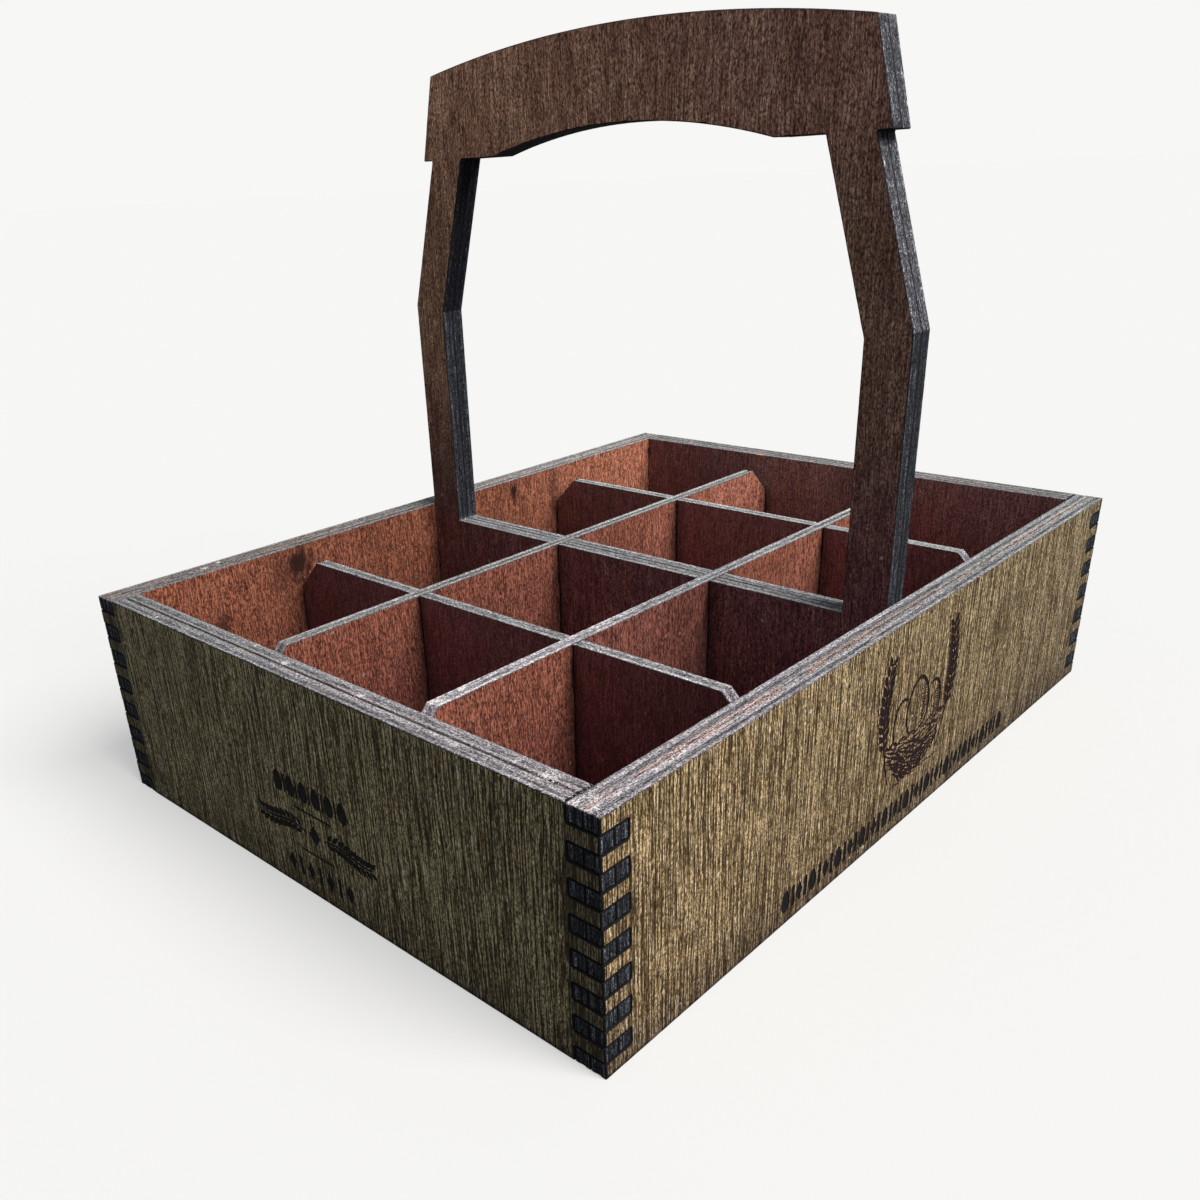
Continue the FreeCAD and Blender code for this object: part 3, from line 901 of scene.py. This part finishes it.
    if fingers:
        row = s.math("ABSOLUTE", s.math("SUBTRACT", s.math("FRACT", s.math(
            "DIVIDE", parts.outputs[2], thickness)), 0.5))
        row = s.math("ADD", row, s.math("MULTIPLY", s.math("SUBTRACT", grit, 0.5), 0.05))
        rim = s.math("ABSOLUTE", s.math("SUBTRACT", depth, half))
        rim = s.math("ADD", rim, s.math("MULTIPLY", s.math("SUBTRACT", grit, 0.5), 0.3))
        char = s.math("MAXIMUM", s.span(row, 0.395, 0.435), s.span(rim, 1.62, 1.80))
        low = s.span(parts.outputs[2], 59.6, 59.3)
        colour = s.mix(s.math("MULTIPLY", s.math("MULTIPLY", char, low), 0.92), colour,
                       (0.0035, 0.0035, 0.004))

    if ends is not None:
        axis, stop = ends
        away = s.math("ADD", s.math("ABSOLUTE", parts.outputs[axis]),
                      s.math("MULTIPLY", s.math("SUBTRACT", grit, 0.5), 0.35))
        share = s.math("MULTIPLY", s.span(away, stop - 0.75, stop - 0.50), lying)
        colour = s.mix(share, colour, (0.008, 0.008, 0.009))

    # white sanding dust, most of it by the near corner
    near = s.span(s.vector("DISTANCE", mm, (-122.0, -91.5, 60.0)), 3.0, 75.0, 1.0, 0.0, True)
    fleck = s.noise(p, scale=1.9, detail=3.0, roughness=0.8)
    more = s.math("MULTIPLY", near, 0.058)
    for x, y, z, radius, *strong in clumps:
        here = s.span(s.vector("DISTANCE", mm, (x, y, z)), radius * 0.2, radius * 1.35,
                      strong[0] if strong else 0.165, 0.0, True)
        more = s.math("MAXIMUM", more, here)
    fleck = s.span(s.math("ADD", fleck, more), 0.640, 0.690)
    fleck = s.math("MULTIPLY", s.math("MULTIPLY", fleck, dust), s.span(up, 0.2, 0.7))
    colour = s.mix(fleck, colour, (0.82, 0.77, 0.76))
    for x, y, z, radius in chips:
        away = s.math("ADD", s.vector("DISTANCE", mm, (x, y, z)),
                      s.math("MULTIPLY", s.math("SUBTRACT", grit, 0.5), radius * 1.4))
        colour = s.mix(s.span(away, radius * 0.75, radius, 1.0, 0.0), colour,
                       s.mix(s.span(fine, 0.42, 0.6), (0.60, 0.24, 0.13), (0.86, 0.58, 0.42)))

    height = s.math("ADD", s.math("MULTIPLY", streak, 0.5), s.math("MULTIPLY", grit, 0.5))
    height = s.math("SUBTRACT", height, s.math("MULTIPLY", core, 0.25))
    roughness = s.span(streak, 0.35, 0.65, 0.58, 0.82)
    return s.finish(colour, roughness, height, 0.00022, 0.9, 0.15)


def burnt(name, seed, dark, light, below=None):
    """The bottom of an engraving: char with lighter ridges of grain. below is
    (height, dark, light) of the deeper burnt part under that height."""
    s = Shader(name)
    mm, p = s.place(seed)
    ridges = s.noise(s.vector("MULTIPLY", p, (2.6, 2.6, 0.35)), detail=3.0, roughness=0.65)
    grit = s.noise(p, scale=3.0, detail=2.0)
    level = s.math("ADD", s.math("MULTIPLY", ridges, 0.7), s.math("MULTIPLY", grit, 0.3))
    colour = s.mix(s.span(level, 0.42, 0.62), dark, light)
    if below is not None:
        where = s.node("ShaderNodeSeparateXYZ")
        s.feed(where.inputs[0], mm)
        deep = s.mix(s.span(level, 0.46, 0.62), below[1], below[2])
        colour = s.mix(s.span(where.outputs[2], below[0] - 0.2, below[0] + 0.2), deep, colour)
    return s.finish(colour, 0.85, level, 0.0002, 0.7, 0.2)


OLIVE = dict(dark=(0.103, 0.0610, 0.0212), middle=(0.250, 0.165, 0.0740),
             light=(0.510, 0.374, 0.203), pore=(0.026, 0.0130, 0.0038))
MAHOGANY = dict(dark=(0.108, 0.0262, 0.0160), middle=(0.177, 0.0540, 0.0335),
                light=(0.300, 0.106, 0.067), pore=(0.026, 0.0055, 0.0040))
# the inner red stain with the purplish cast it has in shade: painted shade, for faces turned from the lamp and the
# handle's lower part
SHADED_RED = dict(dark=(0.120, 0.031, 0.032), middle=(0.168, 0.0485, 0.0495),
            light=(0.262, 0.086, 0.084), pore=(0.036, 0.009, 0.0105))
WALNUT = dict(dark=(0.118, 0.052, 0.034), middle=(0.196, 0.104, 0.070),
              light=(0.320, 0.190, 0.134), pore=(0.030, 0.011, 0.0080))

# -------------------------------------------------------------------- pieces

SEGMENTS = 15
made = []


def dress(piece, materials, body, node):
    for material in materials:
        piece.data.materials.append(material)
    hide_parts(node)
    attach(piece, body)
    made.append(piece)


def frame_of(node, across, outside_low):
    """place() for a sheet, its axis across, and whether face A is the low side."""
    low, high = node_box(node)
    start = low[across] if outside_low else high[across]
    sign = 1.0 if outside_low else -1.0

    def place(u, v, c):
        if across == 1:
            return (u, start + sign * c, v)
        if across == 0:
            return (start + sign * c, u, v)
        return (u, v, start + sign * c)

    return place, start


def wall_outline(half, deep, height, notched_first, seed):
    """A wall sheet's outline with its finger-jointed ends.

    The fingers end a few hundredths below the face that they come out in, and
    stand a hair clear of the notches' sides.
    """
    rng = np.random.default_rng(seed)
    pitch = height / SEGMENTS
    gap = 0.045
    right, left = [], []
    for k in range(SEGMENTS):
        notched = (k % 2 == 0) == notched_first
        z0, z1 = k * pitch, (k + 1) * pitch
        for side in (right, left):
            sink = float(rng.uniform(0.02, 0.11))
            x = half - deep if notched else half - sink
            lo = z0 if k == 0 else z0 + (-gap if notched else gap)
            hi = z1 if k == SEGMENTS - 1 else z1 + (gap if notched else -gap)
            r = 0.5 if notched else 0.26
            ends = [(x, lo, r), (x, hi, r)]
            side.extend(ends)
    outline = right + [(-x, z, r) for x, z, r in reversed(left)]
    # the sheet's own corners are crisper
    return rounded(outline, 0.26, 3)


WALLS = [
    ("front_wall_outer", 1, True), ("front_wall_inner", 1, True),
    ("back_wall_outer", 1, False), ("back_wall_inner", 1, False),
    ("left_wall_outer", 0, True), ("left_wall_inner", 0, True),
    ("right_wall_outer", 0, False), ("right_wall_inner", 0, False),
]
ONE = (1.0, 1.0, 1.0)

floor_low, floor_high = node_box("base_panel")
ply = floor_high[2] - floor_low[2]
emblem = nest_emblem(2.0, 25.5)
front_border = border_row(-61.0, 63.0, 6.3)
left_panel = stacked_panel(0.5, 33.0)
smudge_back = ((-61.1, 83.5, 54.0, 6.0, 1.15, 0.95), (34.4, 83.5, 55.5, 2.4, 2.0, 0.9),
               (34.8, 83.5, 55.6, 1.2, 2.4, 1.0), (-61.6, 83.5, 55.0, 3.2, 1.3, 0.7),
               (55.5, 83.5, 52.0, 4.0, 2.6, 0.5), (-91.3, 83.5, 42.5, 4.2, 1.0, 0.75),
               (-68.0, 83.5, 52.0, 5.0, 1.6, 0.35))

# how the colour changes over each sheet: the outer faces darker towards the bottom, with a dark line along the bottom
# edge, the front one also darker and bluer towards +X
OUTSIDE = {
    1: dict(fades=((2, 0.2, 1.5, (0.35, 0.35, 0.37), ONE), (2, 0, 17, (0.54, 0.54, 0.60), ONE),
                   (2, 14, 60, (0.97, 0.96, 0.97), (1.04, 1.04, 1.03)),
                   (0, -118, 118, (1.00, 0.99, 0.97), (0.84, 0.87, 0.90))),
            halo_share=0.12, specks=0.85, tone=(0.98, 1.08), spacing=0.42, sharp=0.050,
            open_grain=0.405, reach=1.5, steady=0.4, ridges=0.042),
    0: dict(fades=((2, 0.2, 1.7, (0.22, 0.22, 0.24), ONE), (2, 0, 15, (0.66, 0.72, 0.78), (0.92, 1.05, 1.06))),
            halo_share=0.62, specks=0.5, tone=(0.97, 1.07), spacing=0.42, sharp=0.048,
            open_grain=0.410, reach=1.3, steady=0.4, ridges=0.040),
}
RED_GRAIN = (0.24, 0.38, 0.38)
CROSSINGS = dict(joint_char_and_shade=((-59.0, 2.0), (0.0, 4.0), (59.0, 2.0)), joint_axis=0, joint_top=47.0)
LENGTHS = dict(joint_char_and_shade=((-28.5, 2.0), (28.5, 2.0)), joint_axis=1, joint_top=47.0)
# lit and shaded copies of the red grain: the shaded one's fainter lines and fewer glints are painted shade, the lit
# one's strong glints partly a painted highlight
LIT_GRAIN = dict(lines=0.42, glints=0.85, tints=(1.30, 1.40), open_grain=0.41, steady=0.5)
SHADED_GRAIN = dict(lines=0.30, glints=0.25, tints=(1.20, 1.30), sharp=0.085)
# the inner faces: painted shade darkens them down the cells, painted light lightens the back wall towards +X, and the
# right wall's face, turned from the lamp, takes the red as it looks in shade, painted lighter, most of all towards the
# top, and towards -Y
INSIDE = {
    "front_wall_inner": dict(MAHOGANY, **LIT_GRAIN, fades=((2, 15, 58, (0.70, 0.66, 0.72), ONE),), **CROSSINGS),
    "back_wall_inner": dict(MAHOGANY, **LIT_GRAIN, smudges=smudge_back, fades=(
        (2, 20, 58, (0.70, 0.66, 0.64), (1.02, 1.01, 0.88)),
        (0, 25, 100, ONE, (1.70, 1.90, 2.00))), **CROSSINGS),
    "left_wall_inner": dict(MAHOGANY, **LIT_GRAIN, fades=((2, 15, 58, (0.70, 0.66, 0.72), ONE),), **LENGTHS),
    "right_wall_inner": dict(SHADED_RED, **SHADED_GRAIN, fades=((2, 20, 58, (0.95, 1.10, 1.12), (1.32, 1.80, 1.66)),
                                          (1, 58, 20, ONE, (1.28, 1.42, 1.30), (1, 3, -14)),
                                          (1, -60, 70, (1.16, 1.22, 1.20), (0.98, 0.95, 0.93))),
                             **LENGTHS),
}


# how light the rims that face up are, and their tint, along an axis
RIMS = {"front": (0, -100, 100, (0.98, 0.925, 0.965), (0.90, 0.955, 0.93)),
        "left": (1, -80, 80, (0.94, 0.885, 0.92), (0.74, 0.77, 0.765)),
        "back": (0, -100, 100, (0.64, 0.60, 0.57), (0.90, 0.92, 0.89)),
        "right": (1, -80, 80, (0.86, 0.86, 0.83), (0.86, 0.88, 0.86))}
# where splinters and dust cling to the rims, and where wood is torn out
CLUMPS = {"front_wall_inner": ((-120.8, -85.0, 60.0, 2.0), (-117.5, -86.2, 60.0, 2.4),
                               (-92.0, -84.4, 60.0, 1.2)),
          "front_wall_outer": ((-119.5, -88.6, 60.0, 1.6),),
          "left_wall_inner": ((-116.6, -75.0, 60.0, 2.9), (-116.9, -74.4, 60.0, 1.2, 0.21),
                              (-116.2, -66.0, 60.0, 1.6),
                              (-117.0, -19.2, 60.0, 1.5), (-116.6, 9.0, 60.0, 1.4),
                              (-114.8, 24.0, 60.0, 1.2)),
          "left_wall_outer": ((-120.3, 62.4, 60.0, 0.9), (-119.4, -52.0, 60.0, 1.2)),
          "back_wall_outer": ((-90.5, 88.0, 60.0, 1.8), (-85.0, 89.5, 60.0, 1.4))}
CHIPS = {"right_wall_inner": ((114.2, 30.0, 60.0, 1.7),)}


def near_fingers(half, deep, width):
    """Extra width of the burnt arris round the finger joints."""
    return lambda x, y: width if abs(x) > half - deep - 0.6 else 0.0


for number, (node, across, low_side) in enumerate(WALLS):
    low, high = node_box(node)
    outer = node.endswith("outer")
    place, start = frame_of(node, across, low_side)
    if across == 1:
        half, deep, first = high[0], 2 * ply, False
    else:
        half, deep, first = high[1], 2 * ply, True
    outline = wall_outline(half, deep, high[2], first, 30 + number // 2 * 2 + (0 if outer else 1))
    motifs = []
    if node == "front_wall_outer":
        motifs = emblem + front_border
    if node == "left_wall_outer":
        # seen from outside, +Y is to the left
        motifs = [[(-x, z) for x, z in q] for q in left_panel]
    piece = sheet("seen_" + node, [outline], place, ply,
                  FREE if outer else GLUED, GLUED if outer else FREE, motifs, seed=3 + number,
                  char=near_fingers(half, deep, 0.16))
    edge = cut_edge("cut_" + node, 50 + number, across, start, ply, 0 if across == 1 else 1,
                    flip=not low_side, seam="high" if outer else "low", top=60.0, fingers=True,
                    warm=1.0 if across == 1 else 0.35, dust=1.0, side=0.68, contrast=1.1,
                    level=RIMS[node.split("_")[0]], ends=(1, half - deep) if across == 0 else None,
                    clumps=CLUMPS.get(node, ()), chips=CHIPS.get(node, ()),
                    arris=(0.25 if across == 1 else 0.9) if outer else 0.0,
                    dashed=0.9 if across == 1 else 0.15, core_at=1.6 if outer else None,
                    gape=0.0 if across == 1 or outer else 0.26)
    if outer:
        olive = stained_veneer("olive_" + node, 10 + number, 2, lines=0.95, grit=0.62,
                               halo=(0 if across == 1 else 1, half - deep),
                               **OUTSIDE[across], **OLIVE)
        burn = (burnt("burn_" + node, 70 + number, (0.008, 0.0035, 0.0045), (0.034, 0.012, 0.014),
                      below=(11.0, (0.0035, 0.003, 0.0035), (0.020, 0.016, 0.016)))
                if across == 1 else
                burnt("burn_" + node, 70 + number, (0.004, 0.004, 0.0045), (0.036, 0.034, 0.032)))
        dress(piece, [olive, edge, olive, burn], "crate", node)
    else:
        red = stained_veneer("red_" + node, 30 + number, 2, grit=0.52, spacing=0.5,
                             recipe=RED_GRAIN, reach=0.6, **INSIDE[node])
        dress(piece, [red, edge, red], "crate", node)

# the base
low, high = node_box("base_panel")
place, start = frame_of("base_panel", 2, True)
tabs = [block(-ply, 47, ply, 67), block(-ply, -67, ply, -47)]
piece = sheet("seen_base_panel",
              [rounded(block(low[0] + 0.04, low[1] + 0.04, high[0] - 0.04, high[1] - 0.04), 0.3)]
              + [rounded(t, 0.3) for t in tabs], place, ply, seed=21, step=2.0)
under = stained_veneer("olive_base", 90, 0, lines=0.8, spacing=0.5, grit=0.5, **OLIVE)
top = stained_veneer("red_base", 91, 0, grit=0.42, **LIT_GRAIN, **MAHOGANY)
dress(piece, [under, cut_edge("cut_base", 92, 2, 0.0, ply, 0), top],
      "crate", "base_panel")

# the handle's two plates
PLATES = [("handle_plate_left", True), ("handle_plate_right", False)]


def arc_points(half, z, rise, n):
    """Points of a rising arc from +half to -half, ends left out."""
    radius = (half * half + rise * rise) / (2 * rise)
    top = math.asin(half / radius)
    out = []
    for i in range(1, n):
        a = top - 2 * top * i / n
        out.append((radius * math.sin(a), z + rise - radius * (1 - math.cos(a)), 0))
    return out


for number, (node, low_side) in enumerate(PLATES):
    low, high = node_box(node)
    place, start = frame_of(node, 0, low_side)
    foot = high[1]
    right = [(47.04, ply), (47.04, 0.03), (66.96, 0.03), (66.96, ply), (foot, ply),
             (foot, 124.4), (70.8, 164.8), (74.5, 164.8), (68.9, 186.4)]
    outline = (right + arc_points(68.9, 186.4, 6.0, 44)
               + [(-y, z) for y, z in reversed(right)])
    inner = foot - 12.0
    side = [(inner, 56.0), (inner, 122.6), (58.5, 164.8), (45.3, 164.8)]
    window = side + arc_points(45.3, 164.8, 5.8, 30) + [(-y, z) for y, z in reversed(side)]
    # the two halving slots open into the window's lower edge
    sill = []
    for y in (-28.5, 28.5):
        sill += [(y - 2.15, 56.0), (y - 2.15, 29.75), (y + 2.15, 29.75), (y + 2.15, 56.0)]
    window = window + sill
    piece = sheet("seen_" + node, [rounded(outline, 0.3), rounded(window, 0.3)], place, ply,
                  FREE, GLUED, seed=40 + number)
    # down towards the crate the walnut goes over into the red as it looks in shade, painted shade, and the fades make
    # it darker low down, lighter by the top bar and change it along Y
    face = stained_veneer(
        "walnut_" + node, 100 + number, 2, lines=0.50, grit=0.62, spacing=0.7, open_grain=0.41,
        recipe=(0.35, 0.35, 0.30), reach=0.75, sharp=0.10, wander=4.0, glints=0.22, tints=(1.35, 1.40),
        tone=(0.76, 1.24), blend=(SHADED_RED, 2, 50, 112), rough=(0.5, 0.75), specks=0.4,
        fades=((2, 58, 120, (0.78, 0.76, 0.84), (1.30, 1.20, 1.16)),
               (2, 148, 176, ONE, (1.42, 1.36, 1.42)),
               (1, -84, 84, (0.80, 0.81, 0.85), (1.21, 1.23, 1.09)),
               (1, 62, 20, ONE, (1.50, 1.45, 1.45), (2, 52, 60)),
               (1, -60, 62, (0.96, 1.08, 1.02), (1.22, 1.14, 1.26), (2, 52, 60)),
               (1, -75, 75, (1.10, 1.04, 1.08), (0.82, 0.92, 0.82), (2, 74, 90))),
        joint_char_and_shade=((-28.5, 2.0), (28.5, 2.0)), joint_axis=1, joint_top=60.0, **WALNUT)
    edge = cut_edge("cut_" + node, 110 + number, 0, start, ply, 1, flip=not low_side,
                    seam="high", warm=0.1, dust=0.3, side=0.74, glue=0.40, contrast=1.1, stripes=0.6,
                    arris=0.7 if low_side else 0.0,
                    level=(1, -84, 84, (1.20, 1.19, 1.19), (0.92, 0.95, 0.96)))
    dress(piece, [face, edge, face], "crate", node)

# the dividers
# LIT is painted light and shade on the long dividers: darker down the cells, lighter towards +X. OWN darkens each in
# one stretch: the front one, bluish, from x -56 to about 0, the back one beyond x -60.
LIT = ((2, 18, 56, (0.62, 0.56, 0.66), (1.06, 1.05, 1.04)), (0, 28, 104, ONE, (1.5, 1.62, 1.72)))
OWN = (((0, -62, -56, ONE, (0.80, 0.81, 0.93), (0, 0, 8)),),
       ((0, -50, -60, ONE, (0.89, 0.86, 0.86)),))
for number, (node, body) in enumerate((("long_divider_front", "front_divider"),
                                       ("long_divider_back", "back_divider"))):
    low, high = node_box(node)
    place, start = frame_of(node, 1, True)
    half, z0, z1 = high[0], low[2], high[2]
    mid = (z0 + z1) / 2 + 0.25
    outline = [(-half, z0)]
    for x, w in ((-59.0, 2.15), (0.0, 4.15), (59.0, 2.15)):
        outline += [(x - w, z0), (x - w, mid), (x + w, mid), (x + w, z0)]
    outline += [(half, z0), (half, z1 - 9), (half - 9, z1), (-half + 9, z1), (-half, z1 - 9)]
    piece = sheet("seen_" + node, [rounded(outline, 0.3)], place, ply, seed=50 + number)
    red = [stained_veneer("red%d_%s" % (k, node), 120 + number * 2 + k, 2, grit=0.60,
                          spacing=0.42, recipe=RED_GRAIN, reach=0.8, specks=0.25, **LIT_GRAIN,
                          fades=LIT + OWN[number], joint_char_and_shade=((-59.0, 2.0), (0.0, 4.0), (59.0, 2.0)),
                          joint_top=60.0, **MAHOGANY) for k in range(2)]
    edge = cut_edge("cut_" + node, 130 + number, 1, start, ply, 0, warm=0.15, dust=1.0, solid=0.4,
                    contrast=1.15, arris=0.5,
                    level=((0, -110, 100, (1.48, 1.43, 1.50), (1.13, 1.20, 1.17)) if number == 0 else
                           (0, -110, 100, (1.00, 0.99, 0.98), (1.06, 1.15, 1.11))),
                    clumps=((-110.5, -28.5, 51.5, 3.4), (-103.0, -28.5, 56.0, 3.4),
                            (-95.0, -27.6, 56.0, 1.8)) if number == 0 else
                    ((-110.5, 28.5, 51.0, 2.4), (-67.0, 29.8, 56.0, 1.2)))
    dress(piece, [red[0], edge, red[1]], body, node)

# SHADED is painted light and shade on the cross dividers, whose faces the lamp barely reaches: lighter towards the top
# and in the divider at +X, darker towards both ends along Y
SHADED = ((2, 18, 56, (0.95, 0.92, 0.99), (1.10, 1.14, 1.08)), (1, 34, 62, ONE, (0.80, 0.86, 0.84)), (0, -60, 60, (1.0, 0.98, 1.0), (1.34, 1.42, 1.34)),
          (1, -70, 0, (0.82, 0.78, 0.80), (1.10, 1.12, 1.10)))
for number, node in enumerate(("cross_divider_left", "cross_divider_right")):
    low, high = node_box(node)
    place, start = frame_of(node, 0, True)
    half, z0, z1 = high[1], low[2], high[2]
    mid = (z0 + z1) / 2 - 0.25
    outline = [(-half, z0), (half, z0), (half, z1 - 9), (half - 9, z1)]
    for y in (28.5, -28.5):
        outline += [(y + 2.15, z1), (y + 2.15, mid), (y - 2.15, mid), (y - 2.15, z1)]
    outline += [(-half + 9, z1), (-half, z1 - 9)]
    piece = sheet("seen_" + node, [rounded(outline, 0.3)], place, ply, seed=60 + number)
    red = [stained_veneer("red%d_%s" % (k, node), 140 + number * 2 + k, 2, grit=0.40,
                          spacing=0.6, recipe=RED_GRAIN, reach=0.5, specks=0.2, **SHADED_GRAIN,
                          fades=SHADED, joint_char_and_shade=((-28.5, 2.0), (28.5, 2.0)),
                          joint_axis=1, joint_top=60.0, **SHADED_RED) for k in range(2)]
    edge = cut_edge("cut_" + node, 150 + number, 0, start, ply, 1, warm=0.1, dust=0.6, solid=0.3,
                    contrast=1.2, arris=0.9,
                    level=((1, -80, 80, (1.16, 1.14, 1.16), (0.88, 0.92, 0.92)) if number == 0 else
                           (1, -80, 80, (1.25, 1.31, 1.27), (1.24, 1.31, 1.26))))
    dress(piece, [red[0], edge, red[1]], "cross_dividers", node)

# --------------------------------------------------------------------- stage

floor_mesh = bpy.data.meshes.new("floor")
floor_mesh.from_pydata([(-30, -30, 0), (30, -30, 0), (30, 30, 0), (-30, 30, 0)], [], [(0, 1, 2, 3)])
floor = bpy.data.objects.new("floor", floor_mesh)
bpy.context.scene.collection.objects.link(floor)
floor.location.z = -0.00005
pale = bpy.data.materials.new("pale_floor")
pale.use_nodes = True
tree = pale.node_tree
tree.nodes.clear()
seen = tree.nodes.new("ShaderNodeAddShader")
lit = tree.nodes.new("ShaderNodeBsdfDiffuse")
lit.inputs["Color"].default_value = (0.42, 0.42, 0.42, 1)
glow = tree.nodes.new("ShaderNodeEmission")
glow.inputs["Color"].default_value = (0.44, 0.437, 0.43, 1)
tree.links.new(lit.outputs[0], seen.inputs[0])
tree.links.new(glow.outputs[0], seen.inputs[1])
bounce = tree.nodes.new("ShaderNodeBsdfDiffuse")
bounce.inputs["Color"].default_value = (0.14, 0.14, 0.14, 1)
path = tree.nodes.new("ShaderNodeLightPath")
choose = tree.nodes.new("ShaderNodeMixShader")
tree.links.new(path.outputs["Is Camera Ray"], choose.inputs["Fac"])
tree.links.new(bounce.outputs[0], choose.inputs[1])
tree.links.new(seen.outputs[0], choose.inputs[2])
out = tree.nodes.new("ShaderNodeOutputMaterial")
tree.links.new(choose.outputs[0], out.inputs["Surface"])
floor_mesh.materials.append(pale)

world = bpy.data.worlds.new("studio")
bpy.context.scene.world = world
world.use_nodes = True
tree = world.node_tree
tree.nodes.clear()
soft = tree.nodes.new("ShaderNodeBackground")
soft.inputs["Color"].default_value = (0.84, 0.92, 1.0, 1)
soft.inputs["Strength"].default_value = 0.24
white = tree.nodes.new("ShaderNodeBackground")
white.inputs["Color"].default_value = (0.932, 0.928, 0.915, 1)
white.inputs["Strength"].default_value = 1.0
path = tree.nodes.new("ShaderNodeLightPath")
choose = tree.nodes.new("ShaderNodeMixShader")
tree.links.new(path.outputs["Is Camera Ray"], choose.inputs["Fac"])
tree.links.new(soft.outputs[0], choose.inputs[1])
tree.links.new(white.outputs[0], choose.inputs[2])
out = tree.nodes.new("ShaderNodeOutputWorld")
tree.links.new(choose.outputs[0], out.inputs["Surface"])


def sun(name, towards, strength, spread, colour=(1, 1, 1)):
    """A soft light from a direction, given as where it stands."""
    data = bpy.data.lights.new(name, "SUN")
    data.energy = strength
    data.angle = math.radians(spread)
    data.color = colour
    lamp = bpy.data.objects.new(name, data)
    bpy.context.scene.collection.objects.link(lamp)
    lamp.rotation_mode = "QUATERNION"
    lamp.rotation_quaternion = Vector(towards).normalized().to_track_quat("Z", "Y")
    return lamp


sun("key", (0.10, -0.72, 0.75), 4.2, 38, (1.0, 0.975, 0.94))

# -------------------------------------------------------------------- camera

right = Vector((0.68620532, -0.72596303, -0.0458251))
down = Vector((-0.34151332, -0.26590601, -0.90147804))
ahead = Vector((0.64225455, 0.63424891, -0.43039216))
data = bpy.data.cameras.new("camera")
camera = bpy.data.objects.new("camera", data)
bpy.context.scene.collection.objects.link(camera)
turn = Matrix((right, -down, -ahead)).transposed().to_4x4()
camera.matrix_world = Matrix.Translation((-0.24122510, -0.19622034, 0.15916274)) @ turn
data.sensor_width = 36.0
data.lens = 36.0 * 1086.6238 / 1200.0
data.shift_x = (600.0 - 538.839) / 1200.0
data.shift_y = (695.974 - 600.0) / 1200.0
data.clip_start = 0.005
data.clip_end = 100.0
bpy.context.scene.camera = camera
bpy.context.scene.view_settings.view_transform = "Standard"
bpy.context.scene.view_settings.look = "None"
